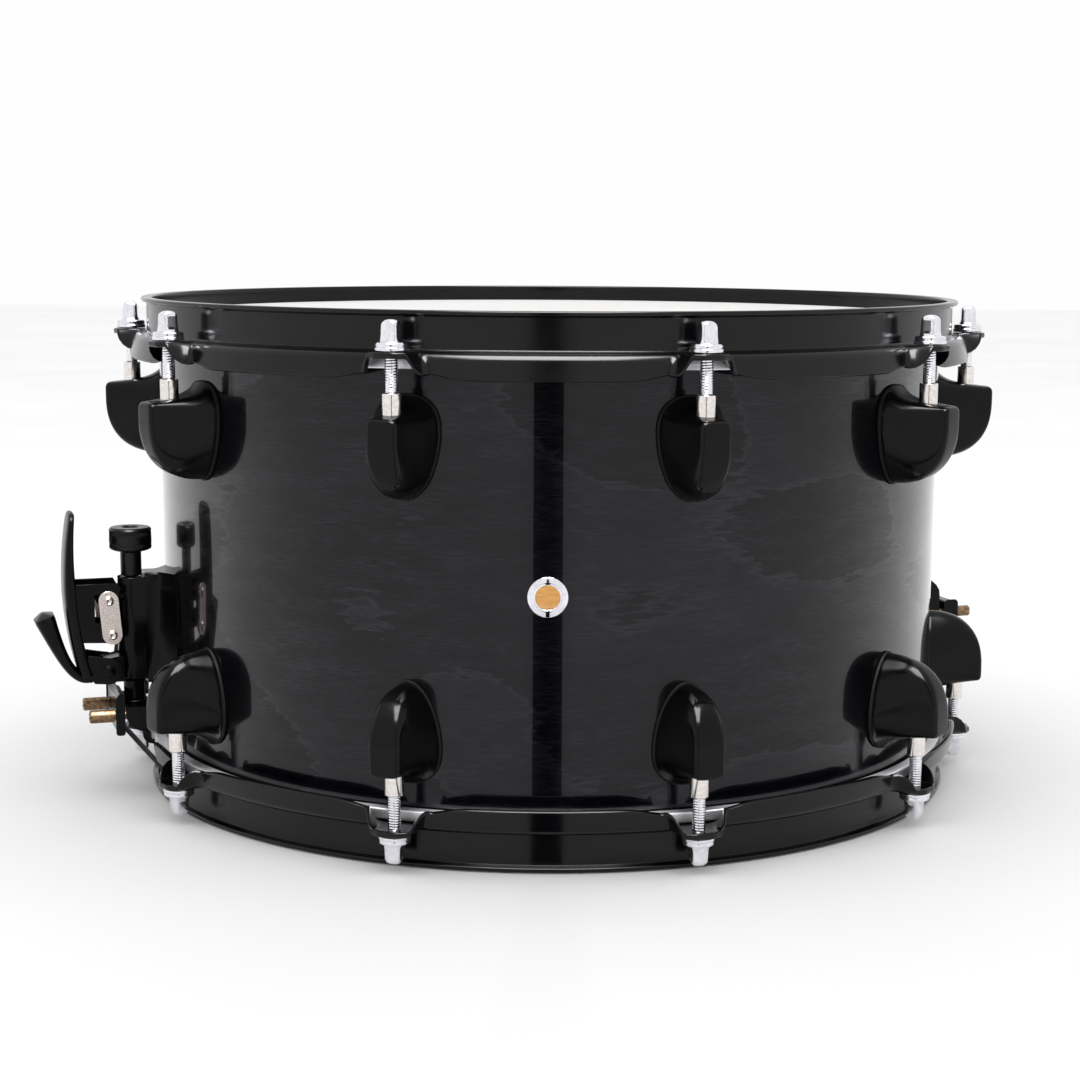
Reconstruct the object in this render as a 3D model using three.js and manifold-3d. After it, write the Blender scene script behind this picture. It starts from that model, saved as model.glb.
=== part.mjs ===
// A 14 by 8 inch snare drum, built from its separate pieces.
// Millimetres, +Z up. The origin is on the drum's axis, in the plane of the lower rim.
// Azimuth 0 faces -Y, where the air vent is, and grows towards +X.

import * as THREE from 'three';
import { mergeVertices } from 'three/addons/utils/BufferGeometryUtils.js';
import { ParametricGeometry } from 'three/addons/geometries/ParametricGeometry.js';
import { ConvexGeometry } from 'three/addons/geometries/ConvexGeometry.js';
import Module from 'manifold-3d';

const wasm = await Module();
wasm.setup();

// ---- Driving dimensions -------------------------------------------------------------

// Shell
const SHELL_RADIUS = 177.8;
const SHELL_WALL = 7.2;
const SHELL_DEPTH = 203;
const EDGE_ROUND = 1.5;
const RING_STEPS = 60;

// The rims stand past the shell at both ends
const RIM_OVERHANG = 8.2;
const HEIGHT = SHELL_DEPTH + 2 * RIM_OVERHANG;
const SHELL_TOP = HEIGHT - RIM_OVERHANG;
const GAP = 0.3;

// Drum heads
const FILM = 0.5;
const COLLAR_INSIDE = SHELL_RADIUS + 0.4;
const COLLAR_DEPTH = 9;
const FLESH_INSIDE = COLLAR_INSIDE + FILM + GAP + 0.1;
const FLESH_OUTSIDE = 184.4;
const FLESH_TOP = 201.3;
const FLESH_BOTTOM = 196.8;

// Counter-hoops: wall, shoulder and a skirt that turns out flat at each ear
const HOOP_SHEET = 2.3;
const HOOP_WALL_OUTSIDE = 183;
const RIM_OUTSIDE = 185.3;
const RIM_DEPTH = 1.4;
const SHOULDER_TOP = 203.9;
const SHOULDER_OUTSIDE = 189.2;
const SKIRT_TIP_OUTSIDE = 190.6;
const SKIRT_BOTTOM = 193.3;
const SCALLOP = 2.4;
const EAR_TIP_OUTSIDE = 200.8;
const EAR_FLAT_HALF_ANGLE = 2.1;
const EAR_FOLD_HALF_ANGLE = 4.4;
const EAR_HOLE = 3.4;

// Snare gates in the lower hoop
const GATE_HALF_WIDTH = 21;
const GATE_RIM_LEFT = 3;
const GATE_HEIGHT = 28;

// Lugs and tension rods, the same at both heads
const LUG_COUNT = 10;
const LUG_PITCH = 360 / LUG_COUNT;
const FIRST_LUG = 18;
const ROD_CIRCLE = 193.3;
const ROD_RADIUS = 2.7;
const ROD_BOTTOM = 171;
const WASHER_RADIUS = 6.6;
const WASHER_THICK = 1.6;
const FLANGE_RADIUS = 5.3;
const KEY_HEAD = 6.4;
const KEY_HEAD_TOP = 216.2;
const SLEEVE_RADIUS = 3.8;
const SLEEVE_TOP = 188.3;
const SLEEVE_BOTTOM = 174;

// A lug's outlines, each at its distance out from the drum's axis, from the shell to the front
const LUG_OUTLINES = [
  { out: SHELL_RADIUS + GAP, tip: 145.8, shoulder: 172, top: 186.8, half: 14, topShare: 0.5 },
  { out: 190, tip: 148.6, shoulder: 170, top: 182, half: 11.5, topShare: 0.6 },
  { out: 199.3, tip: 153.1, shoulder: 168, top: 180.3, half: 8.2, topShare: 0.8 },
  { out: 204.6, tip: 162, shoulder: 170, top: 179.3, half: 6, topShare: 0.9 },
];
const LUG_SIDE_STEPS = 5;
const LUG_WIDTH_POWER = 0.8;
const LUG_HEIGHT_POWER = 1.2;

// Air vent
const VENT_HEIGHT = 109;
const VENT_HOLE = 4.9;
const VENT_BARREL = 5.7;
const VENT_SHELL_HOLE = 6.1;
const VENT_FLANGE = 8;
const VENT_LIP = 1.6;
const VENT_CHAMFER = 1;

// Strainer and butt stand opposite each other, midway between lugs
const STRAINER_AZIMUTH = -72;
const BUTT_AZIMUTH = 108;
const PISTON_AT = 194.2;
const HINGE = new THREE.Vector2(206, 56.5);
const CRANK = new THREE.Vector2(204.3, 73.2);
const LINK_TOP = new THREE.Vector2(205.6, 88.4);

// Strainer base: a casting that narrows from the shell, a bored boss with a slot in front, and a nose
const BASE_BACK = { radius: 173, half: 17, low: 50, high: 98 };
const BASE_FRONT = { radius: 196, half: 10, low: 51.7, high: 100 };
const BOSS_RADIUS = 6.6;
const BOSS_BORE = 5;
const BOSS_LOW = 51.7;
const BOSS_TOP = 97.6;
const BORE_OVERRUN = 7;
const SLOT_HALF = 3.2;
const SLOT_LOW = 77;
const SLOT_FRONT = 203;
const NOSE_RADIUS = 4.6;
const NOSE_TOP = 62;
const NOSE_HALF = 6.4;
const HINGE_PIN = { radius: 2.1, half: 9.8, hole: 2.4 };

// Throw lever: Bezier lines of the blade and the tail, with their thickness at the start and what it gains
const BLADE_LINE = points([219.6, 127.4], [222.8, 108], [222.6, 76], [214.8, 54.5]);
const BLADE = { half: 9.5, thick: 2.4, gain: 3 };
const TAIL_LINE = points([213.2, 53.4], [221.5, 50.4], [226.5, 64.5], [232.8, 81.2]);
const TAIL = { half: 7.5, thick: 3.8, gain: 5.4 };
const CHEEK_INSIDE = 7;
const CHEEK_OUTSIDE = 9;
const CHEEK_TOP = points(
  [219, 95.3], [201.5, 95.3], [200.4, 93.3], [201.5, 91.4], [211.8, 91.4], [211.8, 78.4],
);
const CHEEK_FOOT = points([216.5, 70.2], [220, 80]);
const CRANK_RADIUS = 3.6;
const ARM_TOP = points([214.5, 63.5], [206, 61.9]);
const ARM_FOOT = points([212, 51.6], [216.2, 56]);
const ARM_RADIUS = 5.4;

// Links, piston and knob
const LINK = { radius: 3.9, middle: 10.6, halfThick: 0.8, pin: 1.6 };
const PISTON_RADIUS = 4.6;
const PISTON_BORE = 2.9;
const PISTON_LOW = 56;
const PISTON_TOP = 97.4;
const PISTON_EAR = { back: 197.6, radius: 4.2, half: 2.6, hole: 2 };
const KNOB_PROFILE = points(
  [0, 64], [2, 64], [2, 97.9], [4.6, 97.9], [4.6, 109.2],
  [8.2, 109.2], [9.3, 110.6], [9.3, 118.6], [8.6, 119.4], [3.4, 119.4], [3.4, 118], [0, 118],
);

// Strap clamp and butt: blocks, and pressure plates with two screws each
const CLAMP_NECK = { low: 38, top: 51 };
const CLAMP_RISER = { radius: 2.5, low: 50, top: 60 };
const CLAMP_BLOCK = { inner: 188, outer: 199.5, half: 18, low: 31.5, high: 41 };
const CLAMP_PLATE = { inner: 201.3, outer: 204, half: 18, low: 30, high: 47.4 };
const CLAMP_SCREWS = { offset: 13.5, height: 36, end: 215.5 };
const BUTT_BACK = { radius: 173, half: 24, low: 48, high: 85 };
const BUTT_FRONT = { radius: 198.4, half: 19, low: 57, high: 78 };
const BUTT_BAR = { inner: 200.1, outer: 206, half: 19, low: 58.5, high: 70 };
const BUTT_SCREWS = { offset: 14, height: 64, end: 215.5 };
const SCREW = { hole: 2, shaft: 1.6, head: 2.5, length: 10 };

// Straps and snare wires
const STRAP_WIDTH = 22;
const STRAP_THICK = 1.1;
const STRAP_LOW = 6.1;
const STRAP_BENDS = points([186.3, 13.6], [180.5, 6.3]);
const STRAINER_STRAP = { at: 200.4, top: 46, low: 31 };
const BUTT_STRAP = { at: 199.25, top: 72, low: 57 };
const WIRES_END = 158;
const STRANDS = { end: 146, half: 20, low: 5.2, high: 7 };
const END_PLATE = { start: 142, half: 22, low: 5, high: 7.1 };

// Sides of the round pieces
const SMALL_PIN_STEPS = 8;
const PIN_STEPS = 12;
const BORE_STEPS = 16;
const END_STEPS = 5;
const SLEEVE_STEPS = 10;
const TUBE_STEPS = 14;
const SHELL_CUT_STEPS = 120;
const LEVER_STEPS = 8;

// ---- Materials ----------------------------------------------------------------------

function finish(color, roughness, metalness) {
  return new THREE.MeshStandardMaterial({ color, roughness, metalness });
}

const LACQUER = finish(0x2b2a30, 0.12, 0);
const HOOP_BLACK = finish(0x26262b, 0.18, 0.2);
const LUG_BLACK = finish(0x141416, 0.2, 0);
const CHROME = finish(0xdcd8e2, 0.15, 1);
const COATED_FILM = finish(0xe8e8e4, 0.8, 0);
const CLEAR_FILM = finish(0xdfe0e2, 0.3, 0);
const ALUMINIUM = finish(0xb9b9bd, 0.35, 1);
const CAST_BLACK = finish(0x17171a, 0.35, 0.1);
const NICKEL = finish(0xd0c6c0, 0.3, 1);
const STRAP_BLACK = finish(0x121214, 0.6, 0);
const SNARE_STEEL = finish(0xc8c8cc, 0.3, 1);

// ---- Solids -------------------------------------------------------------------------

// A closed three.js geometry as a solid: its shared vertices are merged first.
function solid(geometry) {
  const bare = geometry.clone();
  bare.deleteAttribute('normal');
  bare.deleteAttribute('uv');
  const merged = mergeVertices(bare, 1e-4);
  return new wasm.Manifold(new wasm.Mesh({
    numProp: 3,
    vertProperties: new Float32Array(merged.attributes.position.array),
    triVerts: new Uint32Array(merged.index.array),
  }));
}

function joined(...geometries) {
  return geometries.map(solid).reduce((whole, part) => whole.add(part));
}

function cut(body, ...tools) {
  return tools.map(solid).reduce((whole, tool) => whole.subtract(tool), body);
}

// A solid back as a geometry that a mesh can show.
function surface(body) {
  const mesh = body.getMesh();
  const geometry = new THREE.BufferGeometry();
  geometry.setAttribute('position', new THREE.BufferAttribute(mesh.vertProperties, mesh.numProp));
  geometry.setIndex(new THREE.BufferAttribute(mesh.triVerts, 1));
  geometry.computeVertexNormals();
  return geometry;
}

function piece(name, geometry, material) {
  const mesh = new THREE.Mesh(geometry, material);
  mesh.name = name;
  return mesh;
}

function points(...pairs) {
  return pairs.map(([x, y]) => new THREE.Vector2(x, y));
}

// A profile of radius and height turned about the Z axis.
function turned(profile, steps) {
  return new THREE.LatheGeometry(profile, steps).rotateX(Math.PI / 2);
}

// A ring whose closed profile runs around the axis and ends where it starts.
function ring(profile, steps) {
  return turned([...profile, profile[0]], steps);
}

function box(low, high) {
  const size = new THREE.Vector3().subVectors(high, low);
  const middle = new THREE.Vector3().addVectors(low, high).multiplyScalar(0.5);
  return new THREE.BoxGeometry(size.x, size.y, size.z).translate(middle.x, middle.y, middle.z);
}

function uprightCylinder(radius, bottom, top, at, steps) {
  return new THREE.CylinderGeometry(radius, radius, top - bottom, steps)
    .rotateX(Math.PI / 2)
    .translate(at, 0, (bottom + top) / 2);
}

// A pin across the strainer, along Y, centred on a point of the radius-height plane.
function crossPin(radius, halfLength, centre, steps) {
  return new THREE.CylinderGeometry(radius, radius, 2 * halfLength, steps)
    .translate(centre.x, 0, centre.y);
}

// A pin that points outwards, along X.
function outwardPin(radius, start, end, side, height, steps) {
  return new THREE.CylinderGeometry(radius, radius, end - start, steps)
    .rotateZ(Math.PI / 2)
    .translate((start + end) / 2, side, height);
}

// An outline in the radius-height plane, given a thickness between two places along Y.
function plate(outline, from, to, curveSteps = 6) {
  const shape = outline instanceof THREE.Shape ? outline : new THREE.Shape(outline);
  return new THREE.ExtrudeGeometry(shape, { depth: to - from, bevelEnabled: false, curveSegments: curveSteps })
    .rotateX(Math.PI / 2)
    .translate(0, to, 0);
}

// The outline of a strip that follows a curve, as thick at each place as thickness(t) says.
function stripOutline(curve, thickness, steps) {
  const places = Array.from({ length: steps + 1 }, (_, i) => i / steps);
  const side = (t, sign) => {
    const along = curve.getTangent(t);
    const across = new THREE.Vector2(-along.y, along.x).multiplyScalar(sign * thickness(t) / 2);
    return curve.getPoint(t).add(across);
  };
  const near = places.map((t) => side(t, 1));
  const far = places.map((t) => side(t, -1)).reverse();
  return [...near, ...far];
}

// The outline of a strip along straight runs, mitred at its bends.
function mitredOutline(path, thickness) {
  const normals = path.slice(1).map((p, i) => {
    const along = new THREE.Vector2().subVectors(p, path[i]).normalize();
    return new THREE.Vector2(-along.y, along.x);
  });
  const offset = (p, i, sign) => {
    const before = normals[Math.max(i - 1, 0)];
    const after = normals[Math.min(i, normals.length - 1)];
    const mitre = new THREE.Vector2().addVectors(before, after).normalize();
    return p.clone().addScaledVector(mitre, sign * thickness / 2 / mitre.dot(after));
  };
  const near = path.map((p, i) => offset(p, i, 1));
  const far = path.map((p, i) => offset(p, i, -1)).reverse();
  return [...near, ...far];
}

function arcPoints(centre, radius, from, to, steps) {
  return Array.from({ length: steps + 1 }, (_, i) => {
    const angle = THREE.MathUtils.degToRad(from + (to - from) * i / steps);
    return new THREE.Vector2(centre.x + radius * Math.cos(angle), centre.y + radius * Math.sin(angle));
  });
}

// A group whose local +X points out of the drum at an azimuth.
function outwardGroup(azimuth) {
  const group = new THREE.Group();
  group.rotation.z = THREE.MathUtils.degToRad(azimuth - 90);
  return group;
}

// ---- Shell and heads ----------------------------------------------------------------

// A cylinder of plies with a 45 degree bearing edge cut inside each end.
function shell() {
  const inside = SHELL_RADIUS - SHELL_WALL;
  const apex = SHELL_RADIUS - EDGE_ROUND;
  const slope = apex - inside;
  const body = solid(ring(points(
    [inside, RIM_OVERHANG + slope],
    [apex, RIM_OVERHANG],
    [SHELL_RADIUS, RIM_OVERHANG + EDGE_ROUND],
    [SHELL_RADIUS, SHELL_TOP - EDGE_ROUND],
    [apex, SHELL_TOP],
    [inside, SHELL_TOP - slope],
  ), RING_STEPS));
  const ventHole = new THREE.CylinderGeometry(VENT_SHELL_HOLE, VENT_SHELL_HOLE, 4 * SHELL_WALL, BORE_STEPS)
    .translate(0, -SHELL_RADIUS, VENT_HEIGHT);
  return piece('shell', surface(cut(body, ventHole)), LACQUER);
}

// The film lies flat over the bearing edge and turns down outside it.
function headFilm(name, material) {
  const under = SHELL_TOP + GAP;
  const top = under + FILM;
  const outside = COLLAR_INSIDE + FILM;
  const film = turned(points(
    [0, under],
    [COLLAR_INSIDE - EDGE_ROUND, under],
    [COLLAR_INSIDE, under - EDGE_ROUND],
    [COLLAR_INSIDE, top - COLLAR_DEPTH],
    [outside, top - COLLAR_DEPTH],
    [outside, top - EDGE_ROUND],
    [outside - EDGE_ROUND, top],
    [0, top],
  ), RING_STEPS);
  return piece(name, surface(solid(film)), material);
}

// The metal ring that holds the film's edge.
function fleshHoop(name) {
  const profile = points(
    [FLESH_INSIDE, FLESH_BOTTOM],
    [FLESH_OUTSIDE, FLESH_BOTTOM],
    [FLESH_OUTSIDE, FLESH_TOP],
    [FLESH_INSIDE, FLESH_TOP],
  );
  return piece(name, surface(solid(ring(profile, RING_STEPS))), ALUMINIUM);
}

// ---- Counter-hoops ------------------------------------------------------------------

// One cross-section of the hoop: flat and outward at an ear, turned down as a skirt elsewhere.
// The skirt's lower edge rises by the scallop where it meets the folds of an ear.
function hoopSection(isEar, scallop = 0) {
  const inside = HOOP_WALL_OUTSIDE - HOOP_SHEET;
  const under = SHOULDER_TOP - HOOP_SHEET;
  const tip = isEar
    ? points([EAR_TIP_OUTSIDE, under], [EAR_TIP_OUTSIDE, SHOULDER_TOP])
    : points(
      [SKIRT_TIP_OUTSIDE - HOOP_SHEET, SKIRT_BOTTOM + scallop],
      [SKIRT_TIP_OUTSIDE, SKIRT_BOTTOM + scallop],
    );
  return [
    ...points([inside, HEIGHT], [inside, under], [SHOULDER_OUTSIDE - HOOP_SHEET, under]),
    ...tip,
    ...points([SHOULDER_OUTSIDE, SHOULDER_TOP], [HOOP_WALL_OUTSIDE, SHOULDER_TOP]),
    ...points([HOOP_WALL_OUTSIDE, HEIGHT - 2 * RIM_DEPTH], [RIM_OUTSIDE, HEIGHT - RIM_DEPTH]),
    ...points([RIM_OUTSIDE, HEIGHT]),
  ];
}

// The sections are swept around the axis, with one every few degrees and at each ear's folds.
function hoopBody() {
  const plain = (LUG_PITCH / 2 + EAR_FOLD_HALF_ANGLE) / 2;
  const half = [0, EAR_FLAT_HALF_ANGLE, EAR_FOLD_HALF_ANGLE, plain, LUG_PITCH / 2];
  const offsets = [...half, ...half.slice(1, -1).map((angle) => LUG_PITCH - angle).reverse()];
  const ear = hoopSection(true);
  const fold = hoopSection(false, SCALLOP);
  const skirt = hoopSection(false);
  const byOffset = [ear, ear, fold, skirt, skirt, skirt, fold, ear];
  const count = ear.length;
  const around = LUG_COUNT * offsets.length;
  const place = (u, v, target) => {
    const step = Math.round(u * around) % around;
    const offset = offsets[step % offsets.length];
    const section = byOffset[step % offsets.length];
    const { x: radius, y: height } = section[Math.round(v * count) % count];
    const degrees = FIRST_LUG + LUG_PITCH * Math.floor(step / offsets.length) + offset;
    const angle = THREE.MathUtils.degToRad(degrees);
    target.set(radius * Math.sin(angle), -radius * Math.cos(angle), height);
  };
  const earHoles = lugAzimuths().map((azimuth) => {
    const angle = THREE.MathUtils.degToRad(azimuth - 90);
    return uprightCylinder(EAR_HOLE, SKIRT_BOTTOM, HEIGHT, ROD_CIRCLE, SMALL_PIN_STEPS).rotateZ(angle);
  });
  return cut(solid(new ParametricGeometry(place, around, count)), ...earHoles);
}

function lugAzimuths() {
  return Array.from({ length: LUG_COUNT }, (_, i) => FIRST_LUG + LUG_PITCH * i);
}

// The lower hoop's wall and skirt are open where the snare straps pass.
function gateCutter(azimuth) {
  const top = HEIGHT - GATE_RIM_LEFT;
  const low = new THREE.Vector3(SHELL_RADIUS - SHELL_WALL, -GATE_HALF_WIDTH, top - GATE_HEIGHT);
  const high = new THREE.Vector3(EAR_TIP_OUTSIDE, GATE_HALF_WIDTH, top);
  return box(low, high).rotateZ(THREE.MathUtils.degToRad(azimuth - 90));
}

// ---- Lugs and tension rods ----------------------------------------------------------

// The lug's outline at a distance from the shell: an almond with a flat upper end.
// Its half-width follows a power curve from the tip to the shoulder and keeps it to the top.
function lugRing({ out, tip, shoulder, top, half, topShare }) {
  const side = Array.from({ length: LUG_SIDE_STEPS + 1 }, (_, i) => {
    const rise = i / LUG_SIDE_STEPS;
    const width = half * Math.sin(rise * Math.PI / 2) ** LUG_WIDTH_POWER;
    return [width, tip + (shoulder - tip) * rise ** LUG_HEIGHT_POWER];
  });
  const outline = [...side, [half * topShare, top]];
  return outline.flatMap(([y, z]) => [new THREE.Vector3(out, y, z), new THREE.Vector3(out, -y, z)]);
}

function lugGeometry() {
  const body = new ConvexGeometry(LUG_OUTLINES.flatMap(lugRing));
  const sleeve = uprightCylinder(SLEEVE_RADIUS, SLEEVE_BOTTOM, SLEEVE_TOP, ROD_CIRCLE, SLEEVE_STEPS);
  const bore = uprightCylinder(ROD_RADIUS + GAP, ROD_BOTTOM - 2, SLEEVE_TOP + 2, ROD_CIRCLE, SMALL_PIN_STEPS);
  return surface(cut(joined(body, sleeve), bore));
}

// A threaded rod with a washer, a flange and a square key head.
function rodGeometry() {
  const seat = SHOULDER_TOP + GAP;
  const flangeTop = seat + 2 * WASHER_THICK;
  const shaft = turned(points(
    [0, ROD_BOTTOM],
    [ROD_RADIUS, ROD_BOTTOM],
    [ROD_RADIUS, seat],
    [WASHER_RADIUS, seat],
    [WASHER_RADIUS, seat + WASHER_THICK],
    [FLANGE_RADIUS, seat + WASHER_THICK],
    [FLANGE_RADIUS, flangeTop],
    [0, flangeTop],
  ), SMALL_PIN_STEPS).translate(ROD_CIRCLE, 0, 0);
  const half = KEY_HEAD / 2;
  const head = box(
    new THREE.Vector3(ROD_CIRCLE - half, -half, flangeTop - 1),
    new THREE.Vector3(ROD_CIRCLE + half, half, KEY_HEAD_TOP),
  );
  return surface(joined(shaft, head));
}

// ---- Air vent -----------------------------------------------------------------------

function ventGrommet() {
  const back = SHELL_RADIUS - SHELL_WALL - 1;
  const profile = points(
    [VENT_HOLE, back],
    [VENT_BARREL, back],
    [VENT_BARREL, SHELL_RADIUS + GAP],
    [VENT_FLANGE, SHELL_RADIUS + GAP],
    [VENT_FLANGE - VENT_CHAMFER, SHELL_RADIUS + VENT_LIP],
    [VENT_HOLE, SHELL_RADIUS + VENT_LIP],
  );
  const outwards = ring(profile, BORE_STEPS).rotateX(Math.PI / 2).translate(0, 0, VENT_HEIGHT);
  return piece('vent_grommet', surface(solid(outwards)), CHROME);
}

// ---- Strainer -----------------------------------------------------------------------

function shellCutter() {
  const radius = SHELL_RADIUS + GAP;
  return turned(points([0, 0], [radius, 0], [radius, HEIGHT], [0, HEIGHT]), SHELL_CUT_STEPS);
}

// A casting that is broad on the shell and narrow in front, with given sides and heights.
function taperedCasting(back, front) {
  const corner = ({ radius, half, low, high }) => [low, high].flatMap((z) => [
    new THREE.Vector3(radius, half, z),
    new THREE.Vector3(radius, -half, z),
  ]);
  return new ConvexGeometry([...corner(back), ...corner(front)]);
}

// The base holds the piston in an upright bore and the lever's pin in a nose.
function strainerBase() {
  const boss = uprightCylinder(BOSS_RADIUS, BOSS_LOW, BOSS_TOP, PISTON_AT, BORE_STEPS);
  const nose = plate([
    ...points([BASE_FRONT.radius, NOSE_TOP], [BASE_FRONT.radius, BASE_FRONT.low]),
    ...arcPoints(HINGE, NOSE_RADIUS, -90, 90, END_STEPS),
  ], -NOSE_HALF, NOSE_HALF);
  const pin = crossPin(HINGE_PIN.radius, HINGE_PIN.half, HINGE, PIN_STEPS);
  const boreTop = BOSS_TOP + BORE_OVERRUN;
  const bore = uprightCylinder(BOSS_BORE, BOSS_LOW - BORE_OVERRUN, boreTop, PISTON_AT, BORE_STEPS);
  const slot = box(
    new THREE.Vector3(PISTON_AT, -SLOT_HALF, SLOT_LOW),
    new THREE.Vector3(SLOT_FRONT, SLOT_HALF, boreTop),
  );
  const whole = joined(taperedCasting(BASE_BACK, BASE_FRONT), boss, nose, pin);
  return piece('strainer_base', surface(cut(whole, shellCutter(), bore, slot)), CAST_BLACK);
}

// The lever: a curved blade, two cheeks that carry the crank, and a curved finger tail.
function throwLever() {
  const bladeLine = new THREE.CubicBezierCurve(...BLADE_LINE);
  const tailLine = new THREE.CubicBezierCurve(...TAIL_LINE);
  const bladeThick = (t) => BLADE.thick + BLADE.gain * Math.min(1, 2 * t);
  const tailThick = (t) => TAIL.thick + TAIL.gain * t ** 3;
  const blade = plate(stripOutline(bladeLine, bladeThick, LEVER_STEPS), -BLADE.half, BLADE.half);
  const tail = plate(stripOutline(tailLine, tailThick, LEVER_STEPS), -TAIL.half, TAIL.half);
  const cheek = [...CHEEK_TOP, ...arcPoints(CRANK, CRANK_RADIUS, 80, 270, END_STEPS), ...CHEEK_FOOT];
  const arm = [...ARM_TOP, ...arcPoints(HINGE, ARM_RADIUS, 100, 270, END_STEPS + 1), ...ARM_FOOT];
  const sides = [-1, 1].flatMap((side) => {
    const [from, to] = [side * CHEEK_INSIDE, side * CHEEK_OUTSIDE].sort((a, b) => a - b);
    return [plate(cheek, from, to), plate(arm, from, to)];
  });
  const pinHole = crossPin(HINGE_PIN.hole, CHEEK_OUTSIDE + 3, HINGE, PIN_STEPS);
  return piece('throw_lever', surface(cut(joined(blade, tail, ...sides), pinHole)), CAST_BLACK);
}

// Two link plates joined by the pin that turns in the piston's ear.
function leverLink() {
  const along = new THREE.Vector2().subVectors(CRANK, LINK_TOP);
  const lean = THREE.MathUtils.radToDeg(Math.atan2(along.y, along.x));
  const outline = [
    ...arcPoints(LINK_TOP, LINK.radius, lean + 90, lean + 270, END_STEPS + 1),
    ...arcPoints(CRANK, LINK.radius, lean + 270, lean + 450, END_STEPS + 1),
  ];
  const plates = [-1, 1].map((side) => {
    const middle = side * LINK.middle;
    return plate(outline, middle - LINK.halfThick, middle + LINK.halfThick);
  });
  const pin = crossPin(LINK.pin, LINK.middle, LINK_TOP, SMALL_PIN_STEPS);
  return piece('lever_link', surface(joined(...plates, pin)), NICKEL);
}

// The piston slides in the base. Its ear reaches out through the slot to the links.
function strainerPiston() {
  const tube = ring(points(
    [PISTON_BORE, PISTON_LOW],
    [PISTON_RADIUS, PISTON_LOW],
    [PISTON_RADIUS, PISTON_TOP],
    [PISTON_BORE, PISTON_TOP],
  ), TUBE_STEPS).translate(PISTON_AT, 0, 0);
  const ear = plate([
    new THREE.Vector2(PISTON_EAR.back, LINK_TOP.y + PISTON_EAR.radius),
    new THREE.Vector2(PISTON_EAR.back, LINK_TOP.y - PISTON_EAR.radius),
    ...arcPoints(LINK_TOP, PISTON_EAR.radius, -90, 90, END_STEPS),
  ], -PISTON_EAR.half, PISTON_EAR.half);
  const pinHole = crossPin(PISTON_EAR.hole, 2 * PISTON_EAR.radius, LINK_TOP, SMALL_PIN_STEPS);
  return piece('strainer_piston', surface(cut(joined(tube, ear), pinHole)), CAST_BLACK);
}

// The fine-tension knob with its stem and screw.
function tensionKnob() {
  return piece('tension_knob', turned(KNOB_PROFILE, BORE_STEPS).translate(PISTON_AT, 0, 0), CAST_BLACK);
}

// Holes through a block for the two screws of its pressure plate.
function screwHoles({ offset, height }, inner, outer) {
  return [-1, 1].map((side) => outwardPin(SCREW.hole, inner, outer, side * offset, height, SMALL_PIN_STEPS));
}

// The block that the strap is clamped to, with its neck and the riser that the screw draws up.
function strapClamp() {
  const neck = uprightCylinder(PISTON_RADIUS, CLAMP_NECK.low, CLAMP_NECK.top, PISTON_AT, TUBE_STEPS);
  const riser = uprightCylinder(CLAMP_RISER.radius, CLAMP_RISER.low, CLAMP_RISER.top, PISTON_AT, SLEEVE_STEPS);
  const { inner, outer, half, low, high } = CLAMP_BLOCK;
  const block = box(new THREE.Vector3(inner, -half, low), new THREE.Vector3(outer, half, high));
  const holes = screwHoles(CLAMP_SCREWS, inner - 3, outer + 3);
  return piece('strap_clamp', surface(cut(joined(neck, riser, block), ...holes)), CAST_BLACK);
}

// A pressure plate with the two screws that pull it against its block.
function screwedPlate(name, { inner, outer, half, low, high }, { offset, height, end }) {
  const bar = box(new THREE.Vector3(inner, -half, low), new THREE.Vector3(outer, half, high));
  const screws = [-1, 1].flatMap((side) => [
    outwardPin(SCREW.shaft, inner - SCREW.length, outer - 0.5, side * offset, height, SMALL_PIN_STEPS),
    outwardPin(SCREW.head, outer - 1, end, side * offset, height, SLEEVE_STEPS),
  ]);
  return piece(name, surface(joined(bar, ...screws)), CAST_BLACK);
}

// A strap from its clamp down through the gate and in under the snare head.
function strap(name, { at, top, low }) {
  const path = [...points([at, top], [at, low]), ...STRAP_BENDS, ...points([WIRES_END + GAP, STRAP_LOW])];
  const outline = mitredOutline(path, STRAP_THICK);
  return piece(name, plate(outline, -STRAP_WIDTH / 2, STRAP_WIDTH / 2), STRAP_BLACK);
}

// ---- Butt plate and snare wires -----------------------------------------------------

function buttBase() {
  const casting = solid(taperedCasting(BUTT_BACK, BUTT_FRONT));
  const holes = screwHoles(BUTT_SCREWS, BUTT_BAR.inner - SCREW.length - 3, BUTT_BAR.inner + 2);
  return piece('butt_base', surface(cut(casting, shellCutter(), ...holes)), CAST_BLACK);
}

// The strands, drawn as one flat bundle, between their two end plates.
function snareWires() {
  const { end, half, low, high } = STRANDS;
  const strands = box(new THREE.Vector3(-end, -half, low), new THREE.Vector3(end, half, high));
  const ends = [-1, 1].map((side) => {
    const [from, to] = [side * END_PLATE.start, side * WIRES_END].sort((a, b) => a - b);
    return box(
      new THREE.Vector3(from, -END_PLATE.half, END_PLATE.low),
      new THREE.Vector3(to, END_PLATE.half, END_PLATE.high),
    );
  });
  return piece('snare_wires', surface(joined(strands, ...ends)), SNARE_STEEL);
}

// ---- Assembly -----------------------------------------------------------------------

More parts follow.
